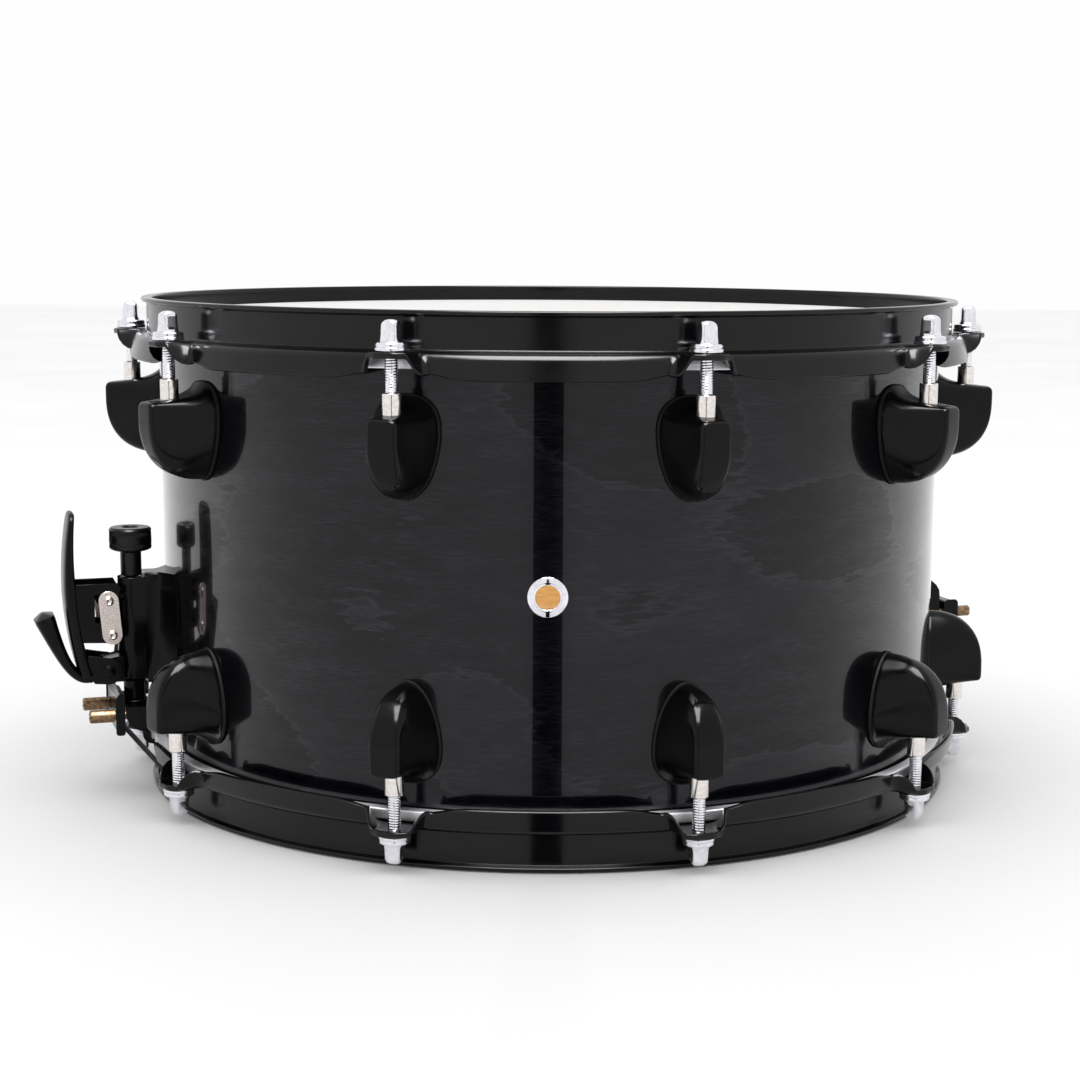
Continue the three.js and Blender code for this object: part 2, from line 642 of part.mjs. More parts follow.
// Everything at one head, drawn at the top. Azimuths are as seen from that end.
function headEnd(side, filmMaterial, gates, azimuthOf) {
  const group = new THREE.Group();
  const hoop = cut(hoopBody(), ...gates.map((azimuth) => gateCutter(azimuthOf(azimuth))));
  group.add(piece(`${side}_hoop`, surface(hoop), HOOP_BLACK));
  group.add(headFilm(`${side}_head_film`, filmMaterial));
  group.add(fleshHoop(`${side}_flesh_hoop`));
  const lug = lugGeometry();
  const rod = rodGeometry();
  lugAzimuths().forEach((azimuth, i) => {
    const number = String(i + 1).padStart(2, '0');
    const place = outwardGroup(azimuthOf(azimuth));
    place.add(piece(`${side}_lug_${number}`, lug, LUG_BLACK));
    place.add(piece(`${side}_tension_rod_${number}`, rod, CHROME));
    group.add(place);
  });
  return group;
}

const snareDrum = new THREE.Group();
snareDrum.add(shell(), ventGrommet());
snareDrum.add(headEnd('batter', COATED_FILM, [], (azimuth) => azimuth));

// The snare end is the same set turned half over about the X axis.
const snareEnd = headEnd('snare', CLEAR_FILM, [STRAINER_AZIMUTH, BUTT_AZIMUTH], (azimuth) => 180 - azimuth);
snareEnd.rotation.x = Math.PI;
snareEnd.position.z = HEIGHT;
snareDrum.add(snareEnd);

const strainer = outwardGroup(STRAINER_AZIMUTH);
strainer.add(strainerBase(), throwLever(), leverLink(), strainerPiston(), tensionKnob(), strapClamp());
strainer.add(screwedPlate('strap_clamp_plate', CLAMP_PLATE, CLAMP_SCREWS));
strainer.add(strap('strainer_strap', STRAINER_STRAP), snareWires());
snareDrum.add(strainer);

const butt = outwardGroup(BUTT_AZIMUTH);
butt.add(buttBase(), screwedPlate('butt_clamp_bar', BUTT_BAR, BUTT_SCREWS));
butt.add(strap('butt_strap', BUTT_STRAP));
snareDrum.add(butt);

export default snareDrum;
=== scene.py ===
# %% [markdown]
# # A snare drum in black lacquer
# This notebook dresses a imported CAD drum. The CAD parts give every place and size, so each step reads them
# from the frame. All the curved pieces are worked out again as fine surfaces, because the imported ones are
# faceted.

# %% The frame
import math

import bmesh
import bpy
import numpy as np
from mathutils import Matrix, Vector


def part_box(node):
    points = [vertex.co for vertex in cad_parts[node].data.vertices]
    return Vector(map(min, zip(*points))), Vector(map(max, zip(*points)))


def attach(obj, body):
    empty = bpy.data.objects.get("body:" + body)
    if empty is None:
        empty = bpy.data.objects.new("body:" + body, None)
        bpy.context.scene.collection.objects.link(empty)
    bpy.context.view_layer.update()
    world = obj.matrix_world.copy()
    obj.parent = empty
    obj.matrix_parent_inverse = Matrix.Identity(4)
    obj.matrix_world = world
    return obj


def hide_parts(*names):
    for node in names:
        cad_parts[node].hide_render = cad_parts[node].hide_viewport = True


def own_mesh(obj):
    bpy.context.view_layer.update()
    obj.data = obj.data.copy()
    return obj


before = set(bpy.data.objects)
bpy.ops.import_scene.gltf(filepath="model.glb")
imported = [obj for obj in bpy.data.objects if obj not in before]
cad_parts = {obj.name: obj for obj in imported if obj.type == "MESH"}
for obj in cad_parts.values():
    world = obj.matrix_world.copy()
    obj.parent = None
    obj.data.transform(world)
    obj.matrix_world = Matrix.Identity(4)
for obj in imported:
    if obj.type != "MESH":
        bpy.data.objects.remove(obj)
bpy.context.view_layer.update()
MM = 0.001

# %% [markdown]
# ## Driving sizes
# The drum's main sizes are read from the CAD boxes, in millimetres. Azimuth 0 faces the air vent, on -Y,
# and grows towards +X. The lower end is the upper end's mirror image, so shapes are drawn once, at the top.

# %% Sizes from the frame
shell_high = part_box("shell")[1]
hoop_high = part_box("batter_hoop")[1]
film_low, film_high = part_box("batter_head_film")
flesh_low, flesh_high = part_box("batter_flesh_hoop")
vent_low, vent_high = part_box("vent_grommet")
SHELL_RADIUS = shell_high.x / MM
SHELL_TOP = shell_high.z / MM
HEIGHT = hoop_high.z / MM
FILM_TOP = film_high.z / MM
FILM_OUTSIDE = film_high.x / MM
FILM_BOTTOM = film_low.z / MM
FLESH_OUTSIDE = flesh_high.x / MM
FLESH_BOTTOM, FLESH_TOP = flesh_low.z / MM, flesh_high.z / MM
VENT_HEIGHT = (vent_low.z + vent_high.z) / 2 / MM
VENT_FLANGE = (vent_high.x - vent_low.x) / 2 / MM
LUG_COUNT = 10
LUG_PITCH = 360 / LUG_COUNT
FIRST_LUG = LUG_PITCH / 2
LUG_AZIMUTHS = FIRST_LUG + LUG_PITCH * np.arange(LUG_COUNT)
STRAINER_AZIMUTH, BUTT_AZIMUTH = -72.0, 108.0
ROD_CIRCLE = 193.3
print(f"shell {2 * SHELL_RADIUS:.1f} across, {HEIGHT:.1f} over the rims")

# %% [markdown]
# ## Camera
# A long lens a metre away, a little above the drum and looking down by about ten degrees, keeps the rims
# nearly flat. The lens is shifted up slightly instead of tilting the camera more, as a view camera does.

# %% Camera
CAMERA_DISTANCE, CAMERA_HEIGHT = 1.0028, 0.2502
CAMERA_PITCH, CAMERA_ROLL = 0.1686, 0.0054
SENSOR, LENS = 36.0, 71.82
camera = bpy.data.objects.new("camera", bpy.data.cameras.new("camera"))
camera.data.sensor_width, camera.data.lens = SENSOR, LENS
camera.data.shift_x, camera.data.shift_y = -0.00725, 0.0511
tilt = Matrix.Rotation(math.pi / 2 - CAMERA_PITCH, 4, "X") @ Matrix.Rotation(CAMERA_ROLL, 4, "Z")
camera.matrix_world = Matrix.Translation((0, -CAMERA_DISTANCE, CAMERA_HEIGHT)) @ tilt
camera.data.clip_end = 50
bpy.context.scene.collection.objects.link(camera)
bpy.context.scene.camera = camera
print("camera at", tuple(round(v, 3) for v in camera.matrix_world.translation))

# %% [markdown]
# ## Surfaces from grids
# Every new shape is a grid of points, rows by places, worked out with numpy. A grid becomes quads, its two
# end rows can be closed with flat caps, and its signed volume says whether its faces point outwards.


# %% Grid to faces
def skin(grid, loop=True, ends="capped"):
    """Points and faces of the surface through grid[row, place].

    loop joins the last place to the first. ends is "capped" for flat ends, "joined" where the last row
    meets the
    first, or "open" where the end rows are poles, which merge later.
    """
    rows, places, _ = grid.shape
    i = np.arange(rows if ends == "joined" else rows - 1)[:, None]
    j = np.arange(places if loop else places - 1)[None, :]
    after, beside = (i + 1) % rows, (j + 1) % places
    corners = [i * places + j, i * places + beside, after * places + beside, after * places + j]
    quads = np.stack(np.broadcast_arrays(*corners), -1).reshape(-1, 4)
    points = grid.reshape(-1, 3)
    caps = [range(places - 1, -1, -1), range((rows - 1) * places, rows * places)]
    faces = quads.tolist() + ([list(cap) for cap in caps] if ends == "capped" else [])
    if signed_volume(points, quads, caps if ends == "capped" else []) < 0:
        faces = [face[::-1] for face in faces]
    return points, faces


def signed_volume(points, quads, caps):
    """A sixth of the sum of a . (b x c) over the triangles; it is positive where faces point outwards."""
    fans = [np.stack([np.full(len(cap) - 2, cap[0]), cap[1:-1], cap[2:]], 1) for cap in map(np.array, caps)]
    triangles = np.concatenate([quads[:, [0, 1, 2]], quads[:, [0, 2, 3]], *fans])
    a, b, c = (points[triangles[:, k]] for k in range(3))
    return float((a * np.cross(b, c)).sum()) / 6


# %% [markdown]
# ## Placing a piece
# A piece near the rim is drawn in a local frame whose +X points out of the drum, and then turned to its
# azimuth. A lower piece is the upper one mirrored in the drum's middle plane, which turns its faces inside
# out, so they are turned back.


# %% Place and build
def outward(part, azimuth, lower=False):
    """The part turned so that local +X points to the azimuth, mirrored to the lower end where asked."""
    points, faces = part
    turn = math.radians(azimuth - 90)
    x, y, z = points.T
    turned = np.stack([x * math.cos(turn) - y * math.sin(turn), x * math.sin(turn) + y * math.cos(turn), z],
                      1)
    if not lower:
        return turned, faces
    turned[:, 2] = HEIGHT - turned[:, 2]
    return turned, [face[::-1] for face in faces]


MERGE_DISTANCE = 1e-7
SMOOTH_ANGLE = 38.0
triangle_count = {}


def build(name, parts, body, materials, replaces=(), paint=None, smooth=SMOOTH_ANGLE, uv=None):
    """Makes one object from surfaces in millimetres, and says what it rides on and replaces.

    paint gives each face's material number from the face centres, and uv each vertex's place on the pattern,
    in metres.
    """
    offsets = np.cumsum([0] + [len(points) for points, _ in parts])
    points = np.concatenate([points for points, _ in parts]) * MM
    faces = [[v + int(start) for v in face] for (_, fs), start in zip(parts, offsets) for face in fs]
    mesh = bpy.data.meshes.new(name)
    mesh.from_pydata(points.tolist(), [], faces)
    if uv is not None:
        layer = mesh.uv_layers.new(name="surface")
        corner = np.zeros(len(mesh.loops), np.int32)
        mesh.loops.foreach_get("vertex_index", corner)
        layer.data.foreach_set("uv", uv[corner].astype(np.float32).ravel())
    merge_poles(mesh)
    mesh.shade_smooth()
    mesh.set_sharp_from_angle(angle=math.radians(smooth))
    for material in materials:
        mesh.materials.append(material)
    if paint is not None:
        centres = np.zeros(3 * len(mesh.polygons), np.float32)
        mesh.polygons.foreach_get("center", centres)
        mesh.polygons.foreach_set("material_index", paint(centres.reshape(-1, 3) / MM).astype(np.int32))
    piece = bpy.data.objects.new(name, mesh)
    bpy.context.scene.collection.objects.link(piece)
    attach(piece, body)
    if replaces:
        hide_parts(*replaces)
    triangle_count[name] = sum(len(p.vertices) - 2 for p in mesh.polygons)
    return piece


def merge_poles(mesh):
    """Joins the points that a pole or a closed end has in one place."""
    work = bmesh.new()
    work.from_mesh(mesh)
    bmesh.ops.remove_doubles(work, verts=work.verts, dist=MERGE_DISTANCE)
    bmesh.ops.dissolve_degenerate(work, edges=work.edges, dist=MERGE_DISTANCE)
    work.to_mesh(mesh)
    work.free()


# %% [markdown]
# ## Outlines
# Flat outlines are drawn with few corners, each rounded by an arc. A plate is an outline given a thickness,
# whose edges are rounded by drawing the outline in by a quarter circle at both faces.


# %% Outline helpers
def rounded(corners, radii, steps=5, closed=True):
    """The outline with an arc at each corner: its centre is r / sin(half the corner) in, along the
    bisector."""
    corners = np.asarray(corners, float)
    radii = np.broadcast_to(radii, len(corners))
    share = np.linspace(0, 1, steps + 1)[:, None]
    runs = []
    for k, (corner, radius) in enumerate(zip(corners, radii)):
        if radius == 0 or (not closed and k in (0, len(corners) - 1)):
            runs.append(corner[None])
            continue
        back = corners[k - 1] - corner
        on = corners[(k + 1) % len(corners)] - corner
        back, on = back / np.linalg.norm(back), on / np.linalg.norm(on)
        half = math.acos(float(np.clip(back @ on, -1, 1))) / 2
        centre = corner + (back + on) / np.linalg.norm(back + on) * radius / math.sin(half)
        start = corner + back * radius / math.tan(half) - centre
        end = corner + on * radius / math.tan(half) - centre
        sweep = math.pi - 2 * half
        blend = (np.sin((1 - share) * sweep) * start + np.sin(share * sweep) * end) / math.sin(sweep)
        runs.append(centre + blend)
    return np.concatenate(runs)


def offset(outline, distance):
    """The closed outline moved outwards by a distance, mitred at its points."""
    ahead = np.roll(outline, -1, 0) - outline
    behind = outline - np.roll(outline, 1, 0)
    first, second = (np.stack([d[:, 1], -d[:, 0]], 1) / np.linalg.norm(d, axis=1)[:, None]
                     for d in (behind, ahead))
    mitre = first + second
    mitre /= np.maximum((mitre * second).sum(1), 0.3)[:, None]
    x, y = outline.T
    area = (x * np.roll(y, -1) - y * np.roll(x, -1)).sum()
    return outline + math.copysign(distance, area) * mitre


def arc(centre, radius, start, end, steps=8):
    """Points on a circle from one angle to another, in degrees."""
    angle = np.radians(np.linspace(start, end, steps + 1))
    return np.stack([centre[0] + radius * np.cos(angle), centre[1] + radius * np.sin(angle)], 1)


def plate(outline, low, high, edge=0.5, steps=3):
    """An outline in the local X-Z plane, from low to high along Y, with quarter round edges."""
    quarter = np.linspace(0, math.pi / 2, steps + 1)
    inset = edge * (1 - np.sin(quarter))
    depth = edge * (1 - np.cos(quarter))
    levels = [(low + d, i) for d, i in zip(depth, inset)] + [(high - d, i) for d,
                                                             i in zip(depth[::-1], inset[::-1])]
    rows = []
    for y, i in levels:
        x, z = offset(outline, -i).T
        rows.append(np.stack([x, np.full(len(x), y), z], 1))
    return skin(np.stack(rows))


def turned(profile, steps, axis="z", centre=(0.0, 0.0, 0.0), closed=False):
    """A profile of radius and height turned about an axis; closed where the profile is a ring's section."""
    profile = np.asarray(profile, float)
    angle = np.linspace(0, 2 * math.pi, steps, endpoint=False)[None, :]
    radius, along = profile[:, 0][:, None], np.repeat(profile[:, 1][:, None], steps, 1)
    a, b = radius * np.cos(angle), radius * np.sin(angle)
    order = {"x": (along, a, b), "y": (b, along, a), "z": (a, b, along)}[axis]
    return skin(np.stack(order, -1) + np.array(centre), ends="joined" if closed else "open")


# %% [markdown]
# ## Colours and nodes
# Colours are written as sRGB hex and turned to linear light, which is what shaders add up. One helper adds
# a node with its settings and its links, so that each material below reads as a list of what its surface is
# made of.


# %% Material helpers
def linear(code):
    """An sRGB hex colour as linear RGBA: above the toe, ((c + 0.055) / 1.055) to the power 2.4."""
    channels = [int(code[k:k + 2], 16) / 255 for k in (1, 3, 5)]
    return (*[c / 12.92 if c <= 0.04045 else ((c + 0.055) / 1.055) ** 2.4 for c in channels], 1.0)


def add(material, kind, inputs, **settings):
    """Adds a shader node. An input is a number or colour, or another node's output, which is linked."""
    node = material.node_tree.nodes.new("ShaderNode" + kind)
    for key, value in settings.items():
        setattr(node, key, value)
    for socket, value in inputs.items():
        if isinstance(value, bpy.types.NodeSocket):
            material.node_tree.links.new(value, node.inputs[socket])
        else:
            node.inputs[socket].default_value = value
    return node


def ramp(material, factor, stops):
    """A colour ramp through (position, hex colour or grey) stops."""
    node = add(material, "ValToRGB", {"Fac": factor})
    elements = node.color_ramp.elements
    while len(elements) < len(stops):
        elements.new(0.5)
    for element, (place, colour) in zip(elements, stops):
        element.position = place
        element.color = linear(colour) if isinstance(colour, str) else (colour, colour, colour, 1)
    return node.outputs["Color"]


def surface(name, **sockets):
    """A material with a Principled shader whose own sockets are set, and its Object coordinates."""
    material = bpy.data.materials.new(name)
    material.use_nodes = True
    shader = material.node_tree.nodes["Principled BSDF"]
    for socket, value in sockets.items():
        shader.inputs[socket.replace("_", " ")].default_value = value
    place = add(material, "TexCoord", {})
    return material, shader, place


def wire(material, shader, **links):
    """Links outputs to the shader's sockets by name."""
    for socket, value in links.items():
        material.node_tree.links.new(value, shader.inputs[socket.replace("_", " ")])


def relief(material, height, distance, strength=1.0):
    """A bump of a real depth, in metres, from a height between 0 and 1."""
    return add(material, "Bump",
               {"Height": height, "Distance": distance, "Strength": strength}).outputs["Normal"]


PER_MM = 1000.0

# %% [markdown]
# ## Black lacquer over figured veneer
# The shell's outer ply is stained black under a thick clear coat. The coat is a mirror, so what the eye
# sees is mostly the room. The figure doesn't show as paler wood but as sheen: some fibres throw back more
# light than others. So the pattern drives the base layer's specular level, and both layers go black where
# the room is black. The socket's own value is the pattern's average, which stands in wherever the link is
# dropped. The figure is growth rings cut at a shallow angle, which are contour lines of a slow field, and
# fine fibre.


# %% Shell lacquer
def lacquered_veneer():
    material, shader, place = surface(
        "black_lacquered_veneer", Coat_Weight=1.0, Coat_Roughness=0.02, Coat_IOR=1.3, IOR=1.5,
        Specular_IOR_Level=0.15, Specular_Tint=linear("#f3f1ff"))
    pattern = place.outputs["UV"]
    slow = add(material, "Mapping", {"Vector": pattern, "Scale": (4.0, 8.0, 1.0)}).outputs["Vector"]
    field = add(material, "TexNoise",
                {"Vector": slow, "Scale": 1.0, "Detail": 1.5, "Roughness": 0.4}).outputs["Fac"]
    torn = add(material, "Mapping", {"Vector": pattern, "Scale": (70.0, 400.0, 1.0)}).outputs["Vector"]
    ragged = add(material, "TexNoise", {"Vector": torn, "Scale": 1.0, "Detail": 2.0}).outputs["Fac"]
    uneven = add(material, "Math", {0: ragged, 1: 0.035, 2: field}, operation="MULTIPLY_ADD").outputs["Value"]
    rings = add(material, "Math", {0: uneven, 1: 7.0}, operation="MULTIPLY").outputs["Value"]
    ring = add(material, "Math", {0: rings}, operation="FRACT").outputs["Value"]
    line = ramp(material, ring, [(0.0, 0.0), (0.6, 0.12), (0.93, 0.3), (0.965, 0.8), (0.985, 0.0)])
    fine = add(material, "Mapping", {"Vector": pattern, "Scale": (150.0, 1200.0, 1.0)}).outputs["Vector"]
    fibre = add(material, "TexNoise",
                {"Vector": fine, "Scale": 1.0, "Detail": 3.0, "Roughness": 0.6}).outputs["Fac"]
    coarse = add(material, "Mapping", {"Vector": pattern, "Scale": (34.0, 150.0, 1.0)}).outputs["Vector"]
    band = add(material, "TexNoise", {"Vector": coarse, "Scale": 1.0, "Detail": 2.0}).outputs["Fac"]
    cloud = add(material, "TexNoise", {"Vector": pattern, "Scale": 22.0, "Detail": 3.0}).outputs["Fac"]
    streak = ramp(material, fibre, [(0.36, 0.0), (0.7, 1.0)])
    soft = ramp(material, band, [(0.36, 0.25), (0.68, 1.0)])
    grain = add(material, "Math", {0: streak, 1: soft}, operation="MULTIPLY").outputs["Value"]
    patchy = ramp(material, cloud, [(0.3, 0.3), (0.7, 1.0)])
    texture = add(material, "Math", {0: grain, 1: patchy}, operation="MULTIPLY").outputs["Value"]
    figure = add(material, "Math", {0: line, 1: 0.8, 2: texture}, operation="MULTIPLY_ADD").outputs["Value"]
    sheen = ramp(material, figure, [(0.0, 0.07), (0.45, 0.17), (1.0, 0.3)])
    colour = ramp(material, figure, [(0.0, "#020204"), (1.0, "#08080d")])
    rough = ramp(material, fibre, [(0.3, 0.16), (0.8, 0.24)])
    wire(material, shader, Base_Color=colour, Roughness=rough, Specular_IOR_Level=sheen,
         Normal=relief(material, grain, 0.00002))
    return material


LACQUER = lacquered_veneer()

# %% [markdown]
# ## Bare maple inside
# The inside plies and the bearing edges are sanded and only sealed, so the wood is pale and matt. Looking
# in at the vent shows it. Grain runs round the shell, in lines about a millimetre apart.


# %% Maple
def sealed_maple():
    material, shader, place = surface("sealed_maple", IOR=1.45)
    long_grain = add(material, "Mapping", {"Vector": place.outputs["UV"], "Scale": (9.0, 420.0, 1.0)})
    fibre = add(material, "TexNoise", {"Vector": long_grain.outputs["Vector"], "Scale": 1.0, "Detail": 4.0})
    colour = ramp(material, fibre.outputs["Fac"], [(0.3, "#deb06a"), (0.5, "#ecc484"), (0.72, "#f3d29a")])
    rough = ramp(material, fibre.outputs["Fac"], [(0.3, 0.5), (0.7, 0.62)])
    bump = relief(material, fibre.outputs["Fac"], 0.00005)
    wire(material, shader, Base_Color=colour, Roughness=rough, Normal=bump)
    return material


MAPLE = sealed_maple()

# %% [markdown]
# ## Black powder coat and black enamel
# Hoops are steel with a gloss black powder coat, which keeps a very slight orange peel of a few
# millimetres. Lugs and strainer castings are zinc under black enamel. All have almost no colour of their
# own. Enamel's index is near 1.5. It is set lower here, because this room is white all round and lights the
# coats more than a studio with dark corners does. The castings are a little less glossy than the hoops.


# %% Black coatings
def black_coat(name, colour, roughness, peel_mm, peel_depth, index):
    material, shader, place = surface(name, IOR=index)
    where = place.outputs["Object"]
    peel = add(material, "TexNoise", {"Vector": where, "Scale": PER_MM / peel_mm, "Detail": 1.5})
    dust = add(material, "TexNoise", {"Vector": where, "Scale": 45.0, "Detail": 3.0})
    shade = ramp(material, dust.outputs["Fac"], [(0.3, colour), (0.9, "#0e0e10")])
    rough = ramp(material, dust.outputs["Fac"], [(0.3, roughness), (0.75, roughness + 0.07)])
    wire(material, shader, Base_Color=shade, Roughness=rough,
         Normal=relief(material, peel.outputs["Fac"], peel_depth))
    return material


HOOP_BLACK = black_coat("gloss_black_powder_coat", "#060608", 0.14, 3.0, 0.000006, 1.34)
LUG_BLACK = black_coat("black_enamelled_zinc", "#030304", 0.14, 4.0, 0.000005, 1.25)
CAST_BLACK = black_coat("satin_black_casting", "#030304", 0.18, 1.6, 0.00001, 1.23)
KNOB_BLACK = black_coat("black_anodised_knob", "#050506", 0.28, 0.8, 0.00001, 1.34)

# %% [markdown]
# ## Plated and bare metals
# Chrome plate is bluish and mirror smooth; nickel is warmer and tumbled dull; the flesh hoop is rolled
# aluminium with lines along it; the snare strands are bright steel wire, and the clamp screws are worn
# brass. A metal's colour is its reflection, so each has metallic 1, the default index, and a little uneven
# roughness.


# %% Metals
def metal(name, light, dark, smooth, rough, spot_mm, stretch=(1.0, 1.0, 1.0), depth=0.000004):
    material, shader, place = surface(name, Metallic=1.0)
    where = add(material, "Mapping", {"Vector": place.outputs["Object"], "Scale": stretch}).outputs["Vector"]
    spots = add(material, "TexNoise",
                {"Vector": where, "Scale": PER_MM / spot_mm, "Detail": 3.0}).outputs["Fac"]
    colour = ramp(material, spots, [(0.3, dark), (0.65, light)])
    worn = ramp(material, spots, [(0.3, rough), (0.7, smooth)])
    wire(material, shader, Base_Color=colour, Roughness=worn, Normal=relief(material, spots, depth))
    return material


CHROME = metal("chrome_plate", "#efeef2", "#dcdae2", 0.05, 0.11, 2.5, depth=0.000002)
SLEEVE_NICKEL = metal("bright_nickel_sleeve", "#f0ebe6", "#dcd6d0", 0.1, 0.16, 1.5, depth=0.000001)
NICKEL = metal("tumbled_nickel_plate", "#ddd3cd", "#b8ada7", 0.26, 0.42, 0.7, depth=0.00002)
ALUMINIUM = metal("rolled_aluminium", "#eeeef0", "#cfcfd4", 0.42, 0.55, 1.2, (0.08, 0.08, 1.0))
STEEL_WIRE = metal("bright_steel_wire", "#dcdce0", "#a8a8ae", 0.18, 0.32, 0.9)
BRASS = metal("worn_brass_screw", "#977c60", "#55442f", 0.34, 0.5, 1.6, depth=0.000004)

# %% [markdown]
# ## Drum heads, gasket and strap
# The batter head is polyester film sprayed with a white coat that has a fine tooth for brushes; it lets
# some light through. The snare side head is clear and slightly hazy. Gaskets are black rubber, and the
# snare straps are woven tape whose threads are half a millimetre apart.


# %% Films, rubber and tape
def coated_film():
    """Most of the light is scattered back, and some comes through, which is a translucent layer mixed in."""
    material, shader, place = surface("white_coated_polyester", IOR=1.45)
    where = place.outputs["Object"]
    tooth = add(material, "TexNoise",
                {"Vector": where, "Scale": PER_MM / 0.7, "Detail": 4.0, "Roughness": 0.7})
    spray = add(material, "TexNoise", {"Vector": where, "Scale": 14.0, "Detail": 2.0})
    colour = ramp(material, spray.outputs["Fac"], [(0.3, "#eeeeed"), (0.7, "#f2f2f1")])
    rough = ramp(material, tooth.outputs["Fac"], [(0.3, 0.62), (0.7, 0.85)])
    wire(material, shader, Base_Color=colour, Roughness=rough,
         Normal=relief(material, tooth.outputs["Fac"], 0.00006))
    glow = add(material, "BsdfTranslucent", {"Color": colour})
    both = add(material, "MixShader", {"Fac": 0.18, 1: shader.outputs["BSDF"], 2: glow.outputs["BSDF"]})
    output = material.node_tree.nodes["Material Output"]
    material.node_tree.links.new(both.outputs["Shader"], output.inputs["Surface"])
    return material


def hazy_film():
    material, shader, place = surface("clear_hazy_polyester", IOR=1.2, Transmission_Weight=0.82)
    haze = add(material, "TexNoise", {"Vector": place.outputs["Object"], "Scale": 22.0, "Detail": 3.0})
    colour = ramp(material, haze.outputs["Fac"], [(0.3, "#dfe2e2"), (0.7, "#eceeee")])
    rough = ramp(material, haze.outputs["Fac"], [(0.3, 0.2), (0.7, 0.32)])
    wire(material, shader, Base_Color=colour, Roughness=rough)
    return material


def black_rubber():
    material, shader, place = surface("black_rubber", IOR=1.3)
    bloom = add(material, "TexNoise",
                {"Vector": place.outputs["Object"], "Scale": PER_MM / 1.2, "Detail": 4.0})
    colour = ramp(material, bloom.outputs["Fac"], [(0.35, "#040405"), (0.75, "#0c0c0d")])
    rough = ramp(material, bloom.outputs["Fac"], [(0.3, 0.5), (0.7, 0.7)])
    wire(material, shader, Base_Color=colour, Roughness=rough,
         Normal=relief(material, bloom.outputs["Fac"], 0.00003))
    return material


def woven_tape():
    """Warp and weft are two square waves at right angles; where one is high the other is low."""
    material, shader, place = surface("black_woven_tape", IOR=1.5, Sheen_Weight=0.2)
    thread = add(material, "Mapping",
                 {"Vector": place.outputs["UV"], "Scale": (PER_MM / 1.1, PER_MM / 1.1, 1.0)})
    weave = add(material, "TexChecker", {"Vector": thread.outputs["Vector"], "Scale": 1.0})
    warp = add(material, "TexWave", {"Vector": thread.outputs["Vector"], "Scale": 0.5, "Distortion": 0.6})
    height = add(material, "Math", {0: weave.outputs["Fac"], 1: warp.outputs["Fac"]}, operation="ADD")
    # The colour follows the weave's height: painted shade between the threads, painted highlight on their
    # tops.
    colour = ramp(material, height.outputs["Value"], [(0.1, "#050506"), (1.0, "#1d1d20")])
    wire(material, shader, Base_Color=colour,
         Roughness=ramp(material, warp.outputs["Fac"], [(0.0, 0.7), (1.0, 0.5)]),
         Normal=relief(material, height.outputs["Value"], 0.00012))
    return material


COATED_FILM, HAZY_FILM, RUBBER, TAPE = coated_film(), hazy_film(), black_rubber(), woven_tape()
print("materials:", len(bpy.data.materials))

# %% [markdown]
# ## Shell
# The shell is a tube of plies with a 45 degree bearing edge cut on the inside of each end. It could be a
# cylinder with a boolean for the air vent. Here it is one ring section carried round the axis, and the vent
# is a patch in which the grid runs from a square to a circle, so that the hole's edge is round and the wall
# stays a clean grid.

# %% Shell
SHELL_WALL = 7.2
EDGE_ROUND = 1.5
VENT_BARREL = 5.7
RIM_OVERHANG = HEIGHT - SHELL_TOP
SHELL_BOTTOM = RIM_OVERHANG
COLUMNS = 360
PATCH_COLUMNS = 5
PATCH_ROWS = 4


def shell_heights():
    """Row heights on the wall, with a run of even rows centred on the vent for its patch."""
    step = 2 * math.pi * SHELL_RADIUS / COLUMNS
    near = VENT_HEIGHT + step * np.arange(-PATCH_ROWS, PATCH_ROWS + 1)
    below = np.linspace(SHELL_BOTTOM + SHELL_WALL + 1, near[0], 9)[:-1]
    above = np.linspace(near[-1], SHELL_TOP - SHELL_WALL - 1, 9)[1:]
    return np.concatenate([below, near, above])


def shell_section():
    """The ring section: up the outside, over the bearing edge, down the inside and under."""
    inside, apex = SHELL_RADIUS - SHELL_WALL, SHELL_RADIUS - EDGE_ROUND
    slope = apex - inside
    wall = shell_heights()
    edge = arc((apex, SHELL_TOP - EDGE_ROUND), EDGE_ROUND, 0, 90, 5)
    top = np.concatenate([edge, [[inside + 0.4, SHELL_TOP - slope + 0.4], [inside, SHELL_TOP - slope - 0.4]]])
    middle = (SHELL_TOP + SHELL_BOTTOM) / 2
    bottom = np.stack([top[::-1, 0], 2 * middle - top[::-1, 1]], 1)
    outer = np.stack([np.full(len(wall), SHELL_RADIUS), wall], 1)
    inner = np.stack([np.full(len(wall), inside), wall[::-1]], 1)
    return np.concatenate([outer, top, inner, bottom]), len(wall), len(top)


def shell_grid():
    """Section rows by azimuth columns; column 0 faces -Y, so the vent's patch is centred there."""
    section, _, _ = shell_section()
    angle = 2 * math.pi * np.arange(COLUMNS) / COLUMNS
    radius, height = section[:, 0][:, None], np.repeat(section[:, 1][:, None], COLUMNS, 1)
    return np.stack([radius * np.sin(angle), -radius * np.cos(angle), height], -1)


